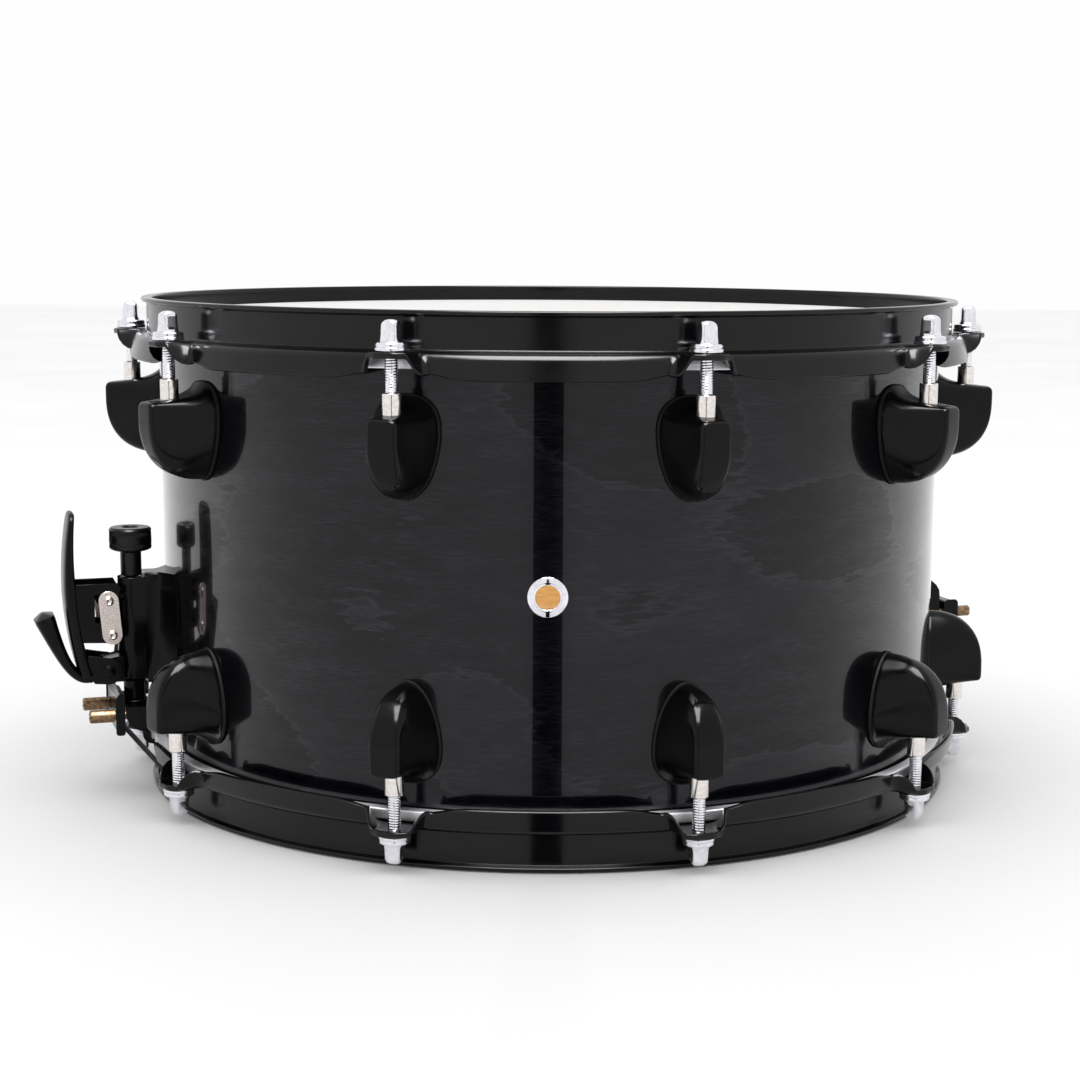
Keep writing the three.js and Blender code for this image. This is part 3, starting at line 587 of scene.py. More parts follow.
def vent_patch(grid, first_row, radius, steps=4):
    """Grid from the patch's square border to a circle on the wall: a straight mix of the two, in angle and
    height."""
    side = np.arange(-PATCH_COLUMNS, PATCH_COLUMNS + 1)
    up = np.arange(first_row, first_row + 2 * PATCH_ROWS + 1)
    border = [(up[0], c) for c in side] + [(r, side[-1]) for r in up[1:]]
    border += [(up[-1], c) for c in side[::-1][1:]] + [(r, side[0]) for r in up[::-1][1:-1]]
    border = np.array(border)
    square = grid[border[:, 0], border[:, 1] % COLUMNS]
    turn = np.arctan2(square[:, 2] - VENT_HEIGHT, square[:, 0])
    across, height = VENT_BARREL * np.cos(turn), VENT_HEIGHT + VENT_BARREL * np.sin(turn)
    share = np.linspace(0, 1, steps + 1)[:, None]
    x = square[:, 0] * (1 - share) + across * share
    z = square[:, 2] * (1 - share) + height * share
    return np.stack([x, -np.sqrt(radius ** 2 - x ** 2), z], -1)


def shell_parts():
    """The tube without its two patches, the patches, and the bore between their circles."""
    grid = shell_grid()
    section, wall_rows, top_rows = shell_section()
    points, faces = skin(grid, ends="joined")
    patch_low = 8
    inner_low = wall_rows + top_rows + wall_rows - 1 - patch_low - 2 * PATCH_ROWS
    corners = np.array(faces)
    row, column = corners // COLUMNS, corners % COLUMNS
    column = np.where(column > COLUMNS // 2, column - COLUMNS, column)
    near = (np.abs(column) <= PATCH_COLUMNS).all(1)
    cut = np.zeros(len(corners), bool)
    for low in (patch_low, inner_low):
        cut |= near & ((row >= low) & (row <= low + 2 * PATCH_ROWS)).all(1)
    outer = vent_patch(grid, patch_low, SHELL_RADIUS)
    inner = vent_patch(grid, inner_low, SHELL_RADIUS - SHELL_WALL)
    inner = (inner[:, ::-1] if np.sign(inner[0, 0, 2] - VENT_HEIGHT) != np.sign(outer[0, 0, 2] - VENT_HEIGHT)
             else inner)
    return (points, corners[~cut].tolist()), outer, inner


tube, outer_patch, inner_patch = shell_parts()


def facing(grid, outwards):
    """A patch's faces, turned so that they point away from the drum's axis or towards it."""
    points, faces = skin(grid, ends="open")
    corners = points[np.array(faces[0])]
    normal = np.cross(corners[1] - corners[0], corners[2] - corners[0])
    away = normal @ (corners[0] * np.array([1, 1, 0])) > 0
    return (points, faces) if away == outwards else (points, [face[::-1] for face in faces])


def bore(start, end):
    """The hole's wall between two circles, its faces pointing at the hole's axis."""
    matched = end[[int(np.argmin(((end - p)[:, [0, 2]] ** 2).sum(1))) for p in start]]
    points, faces = skin(np.stack([start, matched]), ends="open")
    corners = points[np.array(faces[0])]
    normal = np.cross(corners[1] - corners[0], corners[2] - corners[0])
    inwards = normal @ (np.array([0, 0, VENT_HEIGHT]) - corners[0] * np.array([1, 0, 1])) > 0
    return (points, faces) if inwards else (points, [face[::-1] for face in faces])


shell_surfaces = [tube, facing(outer_patch, True), facing(inner_patch, False),
                  bore(outer_patch[-1], inner_patch[-1])]
shell_points = np.concatenate([points for points, _ in shell_surfaces])
around = np.arctan2(shell_points[:, 0], -shell_points[:, 1]) * SHELL_RADIUS
shell_uv = np.stack([around, shell_points[:, 2]], 1) * MM


def shell_paint(centres):
    """Lacquer on the outside of the tube, bare maple elsewhere."""
    return np.where(np.hypot(centres[:, 0], centres[:, 1]) > SHELL_RADIUS - 0.6, 0, 1)


build("lacquered_shell", shell_surfaces, "drum", [LACQUER, MAPLE], ["shell"],
              paint=shell_paint, uv=shell_uv)
print("shell triangles:", triangle_count["lacquered_shell"])

# %% [markdown]
# ## Air vent
# The vent is a brass tube spun over at its outer end and chromed. Its lip slopes like a shallow cone and is
# rounded into the bore, so it is a profile turned about an axis that points out of the drum.

# %% Vent grommet
VENT_BORE = 4.9
VENT_LIP = 1.6


def vent_grommet():
    face = SHELL_RADIUS + 0.3
    back = SHELL_RADIUS - SHELL_WALL - 1
    outline = rounded([(VENT_BORE, back), (VENT_BARREL - 0.1, back), (VENT_BARREL - 0.1, face),
                       (VENT_FLANGE, face),
                       (VENT_FLANGE, face + 0.6), (VENT_BORE + 0.9, face + VENT_LIP),
                       (VENT_BORE, face + VENT_LIP - 0.3)],
                      [0.2, 0.2, 0, 0.1, 0.35, 0.5, 0.3], 5)
    return turned(outline, 72, axis="x", centre=(0, 0, VENT_HEIGHT), closed=True)


build("vent_ring", [outward(vent_grommet(), 0)], "drum", [CHROME], ["vent_grommet"])

# %% [markdown]
# ## Heads and flesh hoops
# A head is a film that lies over the bearing edge, turns down outside it and is glued into an aluminium
# ring, the flesh hoop. Both are sections turned about the drum's axis, in 240 steps so that the collar
# looks round.

# %% Heads
FILM = 0.5
AROUND = 240


def head_film():
    under = FILM_TOP - FILM
    inside = FILM_OUTSIDE - FILM
    over = arc((inside - EDGE_ROUND, under - EDGE_ROUND), EDGE_ROUND + FILM, 90, 0, 6)
    back = arc((inside - EDGE_ROUND, under - EDGE_ROUND), EDGE_ROUND, 0, 90, 6)
    flat = np.linspace(0, inside - EDGE_ROUND, 8)[:-1]
    top = np.stack([flat, np.full(len(flat), FILM_TOP)], 1)
    bottom = np.stack([flat[::-1], np.full(len(flat), under)], 1)
    return turned(np.concatenate([top, over, [[FILM_OUTSIDE, FILM_BOTTOM], [inside, FILM_BOTTOM]], back,
                                  bottom]), AROUND)


def flesh_hoop():
    inside = FILM_OUTSIDE + 0.4
    corners = [(inside, FLESH_BOTTOM), (FLESH_OUTSIDE, FLESH_BOTTOM), (FLESH_OUTSIDE, FLESH_TOP),
               (inside, FLESH_TOP)]
    return turned(rounded(corners, 0.7, 3), AROUND, closed=True)


for side, film in (("batter", COATED_FILM), ("snare", HAZY_FILM)):
    lower = side == "snare"
    build(f"{side}_film", [outward(head_film(), 0, lower)], "drum",
          [film], [f"{side}_head_film"])
    build(f"{side}_flesh_ring", [outward(flesh_hoop(), 0, lower)], "drum",
          [ALUMINIUM], [f"{side}_flesh_hoop"])
print("heads done")

# %% [markdown]
# ## Counter-hoops
# A hoop is rolled from 2.3 mm steel: a wall with a small rim turned out at its edge, a shoulder, and a
# flange that is bent down as a skirt but left flat as an ear at each rod. The sheet's line is followed by
# its length: along the wall, round the foot, out along the shoulder, and then round a bend whose angle
# depends on the azimuth. The sheet has that line as its outer face, and the same line moved in by the
# sheet's thickness as its inner face.

# %% Hoop sizes
SHEET = 2.3
WALL_OUTSIDE = 183.0
RIM_OUTSIDE = 185.3
RIM_DEPTH = 2.8
SHOULDER_TOP = 203.9
FOOT_ROUND = 1.0
BEND_START = 184.9
BEND_RADIUS = 4.5
SKIRT_ANGLE = 80.0
EAR_REACH = 15.9
SKIRT_REACH = 13.3
FOLD_REACH = 10.85
EAR_FLAT, EAR_FOLD, SCALLOP_END = 2.1, 4.4, 9.0
GATE_HALF_WIDTH = 21.0
GATE_RIM_LEFT = 3.0
GATE_CORNER = 3.0


def smooth_step(value, low, high):
    """0 below low, 1 above high, and 3t^2 - 2t^3 between them."""
    t = np.clip((value - low) / (high - low), 0, 1)
    return t * t * (3 - 2 * t)


def from_lug(azimuth):
    """Degrees to the nearest lug."""
    return np.abs((azimuth - FIRST_LUG + LUG_PITCH / 2) % LUG_PITCH - LUG_PITCH / 2)


def flange(azimuth, share, depth):
    """Radius and height on the flange, at a share of its length and a depth below its outer face.

    The line runs straight out, then round the bend by up to the bend angle, then straight down at that angle.
    """
    away = from_lug(azimuth)
    bend = np.radians(SKIRT_ANGLE) * smooth_step(away, EAR_FLAT, EAR_FOLD)
    corner = EAR_REACH - 2.2 * smooth_step(away, 0.9, EAR_FLAT + 0.3)
    reach = np.where(away < EAR_FLAT + 0.3, corner, 0)
    fold = corner + (FOLD_REACH - corner) * smooth_step(away, EAR_FLAT + 0.3, EAR_FOLD)
    skirt = FOLD_REACH + (SKIRT_REACH - FOLD_REACH) * smooth_step(away, EAR_FOLD - 0.6, SCALLOP_END) ** 0.7
    reach = np.where(away < EAR_FLAT + 0.3, reach, np.where(away < EAR_FOLD, fold, skirt))
    length = share * reach
    turn = np.minimum(bend, length / BEND_RADIUS)
    beyond = np.maximum(length - bend * BEND_RADIUS, 0)
    radius = BEND_START + (BEND_RADIUS - depth) * np.sin(turn) + beyond * np.cos(turn)
    height = SHOULDER_TOP - BEND_RADIUS + (BEND_RADIUS - depth) * np.cos(turn) - beyond * np.sin(turn)
    return radius, height


def wall_line():
    """The sheet's outer face from under the rim to the bend, and its inner face back up, each as radius
    and height."""
    top = HEIGHT - GATE_RIM_LEFT
    foot = (WALL_OUTSIDE + FOOT_ROUND, SHOULDER_TOP + FOOT_ROUND)
    drop = np.linspace(top, foot[1], 7)[:-1]
    outer = np.concatenate([np.stack([np.full(6, WALL_OUTSIDE), drop], 1), arc(foot, FOOT_ROUND, 180, 270, 6),
                            [[BEND_START - 0.6, SHOULDER_TOP]]])
    inner_foot = (WALL_OUTSIDE + FOOT_ROUND, SHOULDER_TOP + FOOT_ROUND)
    inner = np.concatenate([np.stack([np.full(6, WALL_OUTSIDE - SHEET), drop], 1),
                            arc(inner_foot, FOOT_ROUND + SHEET, 180, 270, 6),
                            [[BEND_START - 0.6, SHOULDER_TOP - SHEET]]])
    return outer, inner


def hoop_azimuths(start, end):
    """Fine columns at the ears and coarse ones between them."""
    offsets = np.concatenate([np.arange(0, 6, 0.3), np.arange(6, 9, 0.6),
                              np.arange(9, LUG_PITCH / 2 + 0.1, 1.5)])
    both = np.unique(np.concatenate([offsets, LUG_PITCH - offsets]).round(4))
    spread = (LUG_AZIMUTHS[:, None] - 360 + both[None, :]).ravel()
    spread = np.unique(np.concatenate([spread, spread + 360, spread + 720]).round(4))
    return np.concatenate([[start], spread[(spread > start + 0.4) & (spread < end - 0.4)], [end]])


SHARES = np.concatenate([np.linspace(0.02, 0.42, 12), np.linspace(0.47, 0.97, 9)])


def hoop_sheet(start, end, round_corners):
    """Section loop by azimuth: wall and foot are the same all round, the flange changes with the azimuth."""
    outer, inner = wall_line()
    azimuth = hoop_azimuths(start, end)
    shape = (len(azimuth), 1)
    lip = np.linspace(0, math.pi, 6)[1:-1]
    tip_share = 1 - 0.03 * (1 - np.sin(lip))
    tip_depth = SHEET * (1 - np.cos(lip)) / 2
    shares = np.concatenate([SHARES, tip_share, SHARES[::-1]])
    depths = np.concatenate([np.zeros(len(SHARES)), tip_depth, np.full(len(SHARES), SHEET)])
    heights_out, heights_in = outer[:, 1], inner[::-1, 1]
    column = np.repeat(azimuth[:, None], len(shares) + len(outer) + len(inner), 1)
    if round_corners:
        drop = np.concatenate([heights_out[0] - heights_out, np.full(len(shares), 99.0),
                               heights_out[0] - heights_in])
        rise = np.clip(GATE_CORNER - drop, 0, GATE_CORNER)
        degrees = np.degrees((GATE_CORNER - np.sqrt(GATE_CORNER ** 2 - rise ** 2)) / WALL_OUTSIDE)
        from_start = np.clip(1 - (azimuth - start) / 3, 0, 1)[:, None]
        from_end = np.clip(1 - (end - azimuth) / 3, 0, 1)[:, None]
        column = column - degrees * from_start + degrees * from_end
    flange_column = column[:, len(outer):len(outer) + len(shares)]
    radius, height = flange(flange_column, shares[None, :], depths[None, :])
    ones = np.ones(shape)
    radius = np.concatenate([ones * outer[:, 0], radius, ones * inner[::-1, 0]], 1)
    height = np.concatenate([ones * heights_out, height, ones * heights_in], 1)
    angle = np.radians(column)
    return np.stack([radius * np.sin(angle), -radius * np.cos(angle), height], -1)


def rim_ring():
    """The rolled rim above the wall: out under its lip, round it, and back down the inside."""
    bottom = HEIGHT - GATE_RIM_LEFT + 0.02
    corners = [(WALL_OUTSIDE, bottom), (WALL_OUTSIDE, HEIGHT - RIM_DEPTH + 0.3), (RIM_OUTSIDE, HEIGHT - 1.7),
               (RIM_OUTSIDE, HEIGHT), (WALL_OUTSIDE - SHEET, HEIGHT), (WALL_OUTSIDE - SHEET, bottom)]
    return turned(rounded(corners, [0, 0.3, 0.7, 0.8, 0.7, 0], 5), 300, closed=True)


def whole_sheet():
    """The sheet all the way round, its first column dropped where it meets the last."""
    grid = hoop_sheet(0.0, 360.0, False)[:-1]
    return skin(grid, ends="joined")


def gated_sheet():
    """Two arcs of the sheet, between the gates that let the snare straps through."""
    half = math.degrees(math.asin(GATE_HALF_WIDTH / WALL_OUTSIDE))
    arcs = ((STRAINER_AZIMUTH + half, BUTT_AZIMUTH - half),
            (BUTT_AZIMUTH + half, STRAINER_AZIMUTH + 360 - half))
    return [skin(hoop_sheet(start, end, True)) for start, end in arcs]


def world_part(part, lower):
    """A part already drawn about the drum's axis, mirrored where it belongs to the lower end."""
    points, faces = part
    if not lower:
        return part
    return np.stack([points[:, 0], points[:, 1], HEIGHT - points[:, 2]], 1), [face[::-1] for face in faces]


build("batter_counter_hoop", [rim_ring(), whole_sheet()], "drum", [HOOP_BLACK], ["batter_hoop"],
      smooth=50)
build("snare_counter_hoop", [world_part(p, True) for p in [rim_ring(), *gated_sheet()]], "drum",
      [HOOP_BLACK], ["snare_hoop"], smooth=50)
print("hoop triangles:", triangle_count["batter_counter_hoop"], triangle_count["snare_counter_hoop"])

# %% [markdown]
# ## Lugs
# A lug is a hollow zinc casting shaped like a shield: a crowned front face, a ridge, and flanks that widen
# to the shell. It could be sculpted. Here it is a stack of outlines, one at each distance from the shell.
# An outline is a superellipse, flatter above its widest level than below it, and the stack closes on the
# line down its front.

# %% Lug shape
LUG_FOOT, LUG_FRONT = 179.3, 205.1
LUG_TIP, LUG_NOSE = 146.0, 172.5
FOOT_HALF, FRONT_HALF = 13.4, 6.2
FRONT_EDGE = 1.8
BOTTOM_FROM, BOTTOM_RUN = 178.0, 27.12
TOP_LEVEL, TOP_SLOPE, TOP_RISE, TOP_FADE = 179.0, 0.1, 4.9, 5.0
WIDEST_SHARE, FOOT_SUNK = 0.66, 0.9


def lug_level(r):
    """Half width, top, bottom and the two powers of the outline at a distance from the axis, as one row.

    The bottom follows a quarter of a superellipse from the foot's tip to the nose. The top falls off
    steeply and
    then runs out level. Over the last stretch all of them draw in as a quarter circle, which rounds the
    front edge.
    """
    out = np.clip((LUG_FRONT - r) / (LUG_FRONT - LUG_FOOT), 0, 1)
    half = FRONT_HALF + (FOOT_HALF - FRONT_HALF) * out ** 1.25
    drop = LUG_NOSE - LUG_TIP
    bottom = LUG_NOSE - drop * (1 - np.clip((r - BOTTOM_FROM) / BOTTOM_RUN, 0, 1) ** 2.5) ** 0.4
    top = TOP_LEVEL + TOP_SLOPE * (LUG_FRONT - r) + TOP_RISE * math.exp(-(r - LUG_FOOT) / TOP_FADE)
    edge = np.clip((r - LUG_FRONT + FRONT_EDGE) / FRONT_EDGE, 0, 1)
    draw = FRONT_EDGE * (1 - math.sqrt(1 - edge ** 2))
    upper_power, lower_power = 2.4 + 2.6 * (1 - out), 1.85 + 3.2 * (1 - out) ** 2
    return np.array([r, half - draw, top - draw, min(bottom, top - draw - 3), upper_power, lower_power])


def shield(level, grow=0.0, places=72):
    """One outline: y is the half width times |sin|^(2/n), z the height above or below times |cos|^(2/n)."""
    r, half, top, bottom, upper_power, lower_power = level
    widest = bottom + WIDEST_SHARE * (top - bottom)
    angle = np.linspace(0, 2 * math.pi, places, endpoint=False)
    upper = np.cos(angle) > 0
    power = 2 / np.where(upper, upper_power, lower_power)
    y = (half + grow) * np.sign(np.sin(angle)) * np.abs(np.sin(angle)) ** power
    reach = np.where(upper, top - widest + grow, widest - bottom + grow)
    z = widest + reach * np.sign(np.cos(angle)) * np.abs(np.cos(angle)) ** power
    on_shell = np.clip((181.0 - r) / 2.5, 0, 1)
    x = r - on_shell * (SHELL_RADIUS - np.sqrt(SHELL_RADIUS ** 2 - y ** 2))
    return np.stack([x, y, z], 1)


def lug_body():
    """Levels are close together at the front, where the outline changes fastest."""
    front = LUG_FRONT - (LUG_FRONT - LUG_FOOT) * (1 - np.sin(np.linspace(0, math.pi / 2, 34)))
    rows = [shield(lug_level(LUG_FOOT), -0.25)] + [shield(lug_level(r)) for r in front]
    rows[0][:, 0] -= FOOT_SUNK
    return skin(np.stack(rows))


def lug_gasket():
    """A rubber sheet under the lug, a little larger than its foot, its edge rounded."""
    foot = lug_level(LUG_FOOT)
    rows = [(177.95, 0.4), (178.1, 0.7), (178.7, 0.7), (179.1, 0.5), (179.2, 0.1)]
    return skin(np.stack([shield(np.array([r, *foot[1:]]), grow) for r, grow in rows]))


# %% [markdown]
# ## Swivel nut sleeves and tension rods
# Inside a lug a swivel nut takes the rod. Only its plated sleeve stands out of the top. The rod is turned
# from one bar: a screw thread, a flange and a square key head with a domed end, over a loose washer. The
# thread is a real helix: the radius depends on the height and the angle together, so its ridge climbs one
# pitch a turn.

# %% Sleeve and rod shapes
SLEEVE_RADIUS, SLEEVE_TOP, SLEEVE_LOW = 3.8, 188.3, 178.5
ROD_RADIUS, ROD_LOW = 2.7, 171.0
THREAD_PITCH, THREAD_DEPTH = 1.06, 0.3
THREAD_FROM = 186.0
SEAT = SHOULDER_TOP + 0.3
WASHER_RADIUS, WASHER_THICK = 6.6, 1.6
KEY_TOP = 216.2


def sleeve():
    corners = [(3.05, SLEEVE_LOW), (SLEEVE_RADIUS, SLEEVE_LOW), (SLEEVE_RADIUS, SLEEVE_TOP),
               (3.05, SLEEVE_TOP)]
    return turned(rounded(corners, [0, 0, 0.45, 0.15], 3), 32, centre=(ROD_CIRCLE, 0, 0), closed=True)


def threaded_shaft(places=16, per_turn=6):
    """Radius is the rod's, less the thread's depth times a triangle wave of height over pitch minus the
    turn."""
    turns = int((SEAT + 0.5 - THREAD_FROM) / THREAD_PITCH * per_turn)
    z = np.concatenate([[ROD_LOW], np.linspace(THREAD_FROM, SEAT + 0.5, turns)])[:, None]
    angle = np.linspace(0, 2 * math.pi, places, endpoint=False)[None, :]
    phase = (z / THREAD_PITCH - angle / (2 * math.pi)) % 1
    radius = ROD_RADIUS - THREAD_DEPTH * (1 - np.abs(2 * phase - 1))
    rows = np.stack([ROD_CIRCLE + radius * np.cos(angle), radius * np.sin(angle), z + 0 * angle], -1)
    return skin(rows)


def washer():
    corners = [(2.9, SEAT), (WASHER_RADIUS, SEAT), (WASHER_RADIUS, SEAT + WASHER_THICK),
               (2.9, SEAT + WASHER_THICK)]
    return turned(rounded(corners, [0, 0.4, 0.5, 0], 3), 40, centre=(ROD_CIRCLE, 0, 0), closed=True)


def key_head(places=48):
    """Half size and squareness change with height: a round flange, a square shank, and a dome."""
    base = SEAT + WASHER_THICK
    key = np.array([
        # height, half size, squareness
        [base, 6.1, 2.0], [base + 0.3, 6.3, 2.0], [base + 1.3, 6.3, 2.0], [base + 1.7, 5.9, 2.0],
        [base + 2.0, 4.1, 2.8], [base + 2.8, 3.6, 5.0], [base + 4.0, 3.35, 7.0], [KEY_TOP - 2.2, 3.2, 7.0],
        [KEY_TOP - 1.2, 2.95, 5.0], [KEY_TOP - 0.4, 2.2, 3.2], [KEY_TOP - 0.1, 1.2, 2.4], [KEY_TOP, 0.3, 2.0],
    ])
    z = np.unique(np.concatenate([key[:, 0], np.linspace(base, KEY_TOP, 26)]).round(3))
    half, square = (np.interp(z, key[:, 0], key[:, k])[:, None] for k in (1, 2))
    angle = np.linspace(0, 2 * math.pi, places, endpoint=False)[None, :]
    reach = (np.abs(np.cos(angle)) ** square + np.abs(np.sin(angle)) ** square) ** (-1 / square)
    x, y = half * reach * np.cos(angle), half * reach * np.sin(angle)
    return skin(np.stack([ROD_CIRCLE + x, y, z[:, None] + 0 * angle], -1))


lug, gasket, nut = lug_body(), lug_gasket(), sleeve()
rod = [threaded_shaft(), washer(), key_head()]
for side in ("batter", "snare"):
    lower = side == "snare"
    for number, azimuth in enumerate(LUG_AZIMUTHS, 1):
        tag = f"{side}_{number:02d}"
        build(f"lug_{tag}", [outward(lug, azimuth, lower)], "drum", [LUG_BLACK],
              [f"{side}_lug_{number:02d}"])
        build(f"gasket_{tag}", [outward(gasket, azimuth, lower)], "drum", [RUBBER])
        build(f"sleeve_{tag}", [outward(nut, azimuth, lower)], "drum", [SLEEVE_NICKEL])
        build(f"rod_{tag}", [outward(p, azimuth, lower) for p in rod], f"{side}_rod_{number:02d}",
              [CHROME], [f"{side}_tension_rod_{number:02d}"], smooth=42)
print("lug:", triangle_count["lug_batter_01"], "rod:", triangle_count["rod_batter_01"])

# %% [markdown]
# ## Strainer casting
# The strainer's base is a zinc casting: a boss that the piston slides in, a web that spreads from it onto
# the shell with hollow cheeks, and a nose that carries the lever's pin. The web is a stack of level
# outlines; the boss is a ring with a slot in its front above the nose, so its upper part is a section
# carried three quarters round.

# %% Strainer sizes
PISTON_AT, PISTON_RADIUS = 194.2, 4.6
BOSS_RADIUS, BOSS_BORE, BOSS_BACK = 6.6, 5.0, 5.8
BOSS_LOW, SLOT_LOW, BOSS_TOP = 51.7, 77.0, 97.6
SLOT_HALF = 3.2
HINGE = np.array([206.0, 56.5])
CRANK = np.array([204.3, 73.2])
LINK_TOP = np.array([205.6, 88.4])


def web(low, high, back_half, front_half, front, crease_top, crease_low, lean=0.0, places=18):
    """Level outlines: straight flanks back to a crease, which then flare onto the shell as t^1.4.

    lean is how far the front falls back over the top three tenths, as t^2.
    """
    heights = np.concatenate([[low], low + np.array([0.6, 2.0]), np.linspace(low + 6, high - 4, 11),
                              high - np.array([2.2, 0.7, 0.0])])
    edge = np.concatenate([[0.6, 0.25, 0.0], np.zeros(11), [0.0, 0.3, 1.0]])
    rise = (heights - low) / (high - low)
    crease = crease_top + (crease_low - crease_top) * (1 - rise) ** 2
    on_shell = math.sqrt(SHELL_RADIUS ** 2 - back_half ** 2) - 0.5
    rows = []
    back_off = lean * np.clip((rise - 0.7) / 0.3, 0, 1) ** 2
    for z, draw, bend, back in zip(heights, edge, crease, back_off):
        x = np.concatenate([np.linspace(on_shell, min(bend, front - back - 1), places), [front - back]])
        flare = np.clip((bend - x) / (bend - on_shell), 0, 1) ** 1.4
        half = front_half + (back_half - front_half) * flare - draw
        outline = np.concatenate([np.stack([x, half], 1), np.stack([x[::-1], -half[::-1]], 1)])
        rows.append(np.column_stack([outline, np.full(len(outline), z)]))
    return skin(np.stack(rows))


def boss_part(low, high, opening, corners, steps=48):
    """The boss's wall: round in front, with straight flanks at the back, which are the web's.

    Along the ray at an angle, the outside is at R in front, and at the nearer of R / |sin| and the back /
    |cos|
    behind. opening is half the slot's angle; with no slot the ring closes on itself.
    """
    angle = np.linspace(opening, 2 * math.pi - opening, steps, endpoint=opening > 0)[:, None]
    flank = BOSS_RADIUS / np.maximum(np.abs(np.sin(angle)), 1e-6)
    back = BOSS_BACK / np.maximum(np.abs(np.cos(angle)), 1e-6)
    outside = np.where(np.cos(angle) >= 0, BOSS_RADIUS, np.minimum(flank, back))
    section = rounded([(0, low), (1, low), (1, high), (0, high)], corners, 3)
    radius = BOSS_BORE + section[:, 0] * (outside - BOSS_BORE)
    x, y = PISTON_AT + radius * np.cos(angle), radius * np.sin(angle)
    return skin(np.stack([x, y, section[:, 1] + 0 * angle], -1), ends="capped" if opening else "joined")


def strainer_base():
    slot = math.asin(SLOT_HALF / BOSS_RADIUS)
    nose = np.concatenate([[(199.6, 62.3), (199.6, 51.9)], arc(HINGE, 4.6, -90, 90, 12)])
    pin = rounded([(0, -9.9), (2.1, -9.9), (2.1, 9.9), (0, 9.9)], [0, 0.4, 0.4, 0], 3, closed=False)
    return [web(low=50.2, high=99.5, back_half=17, front_half=BOSS_RADIUS, front=188.8, crease_top=183.6,
                crease_low=189.0),
            boss_part(BOSS_LOW, SLOT_LOW, 0, [0, 0.5, 0, 0]),
            boss_part(SLOT_LOW - 0.3, BOSS_TOP, slot, [0, 0, 0.5, 0.3]),
            plate(rounded(nose, 0), -6.4, 6.4, 0.7),
            turned(pin, 24, axis="y", centre=(HINGE[0], 0, HINGE[1]))]


def on_strainer(parts):
    return [outward(part, STRAINER_AZIMUTH) for part in parts]


build("strainer_casting", on_strainer(strainer_base()), "drum", [CAST_BLACK], ["strainer_base"])

# %% [markdown]
# ## Throw lever
# The lever is one casting: a long blade, a finger tail and two pairs of cheeks. Blade and tail are sections
# carried along Bézier curves. The section is a superellipse, so the faces are nearly flat and the edges
# round, and its width and thickness change along the curve, with the blade's tip closed like a fingertip.


# %% Lever
def bezier(points, t):
    """A cubic Bézier curve and its unit tangent."""
    a, b, c, d = (np.array(p, float) for p in points)
    t = t[:, None]
    place = (1 - t) ** 3 * a + 3 * (1 - t) ** 2 * t * b + 3 * (1 - t) * t ** 2 * c + t ** 3 * d
    slope = 3 * (1 - t) ** 2 * (b - a) + 6 * (1 - t) * t * (c - b) + 3 * t ** 2 * (d - c)
    return place, slope / np.linalg.norm(slope, axis=1)[:, None]


def bent_bar(curve, t, width, thick, hollow=0.0, places=40, square=5.0):
    """A superellipse section across a curve in the X-Z plane; hollow dishes the side that faces out."""
    place, along = bezier(curve, t)
    across = np.stack([-along[:, 1], along[:, 0]], 1)
    angle = np.linspace(0, 2 * math.pi, places, endpoint=False)
    y = np.sign(np.cos(angle)) * np.abs(np.cos(angle)) ** (2 / square)
    n = np.sign(np.sin(angle)) * np.abs(np.sin(angle)) ** (2 / square)
    bow = hollow * (1 - y ** 2)
    lift = n[None, :] * thick[:, None] / 2 + bow[None, :] * (width / width.max())[:, None]
    x = place[:, :1] + across[:, :1] * lift
    z = place[:, 1:] + across[:, 1:] * lift
    return skin(np.stack([x, y[None, :] * width[:, None] / 2, z], -1))


BLADE = [(219.6, 127.4), (222.8, 108), (222.6, 76), (214.8, 54.5)]
TAIL = [(213.2, 53.4), (221.5, 50.4), (226.8, 65.0), (233.4, 82.6)]
BLADE_WIDTH, TAIL_WIDTH = 19.0, 15.0


def end_round(t, length):
    """Half circle closing: the square root of 1 - (1 - t / length)^2, up to 1."""
    return np.sqrt(np.clip(1 - (1 - np.clip(t / length, 0, 1)) ** 2, 0.0016, 1))


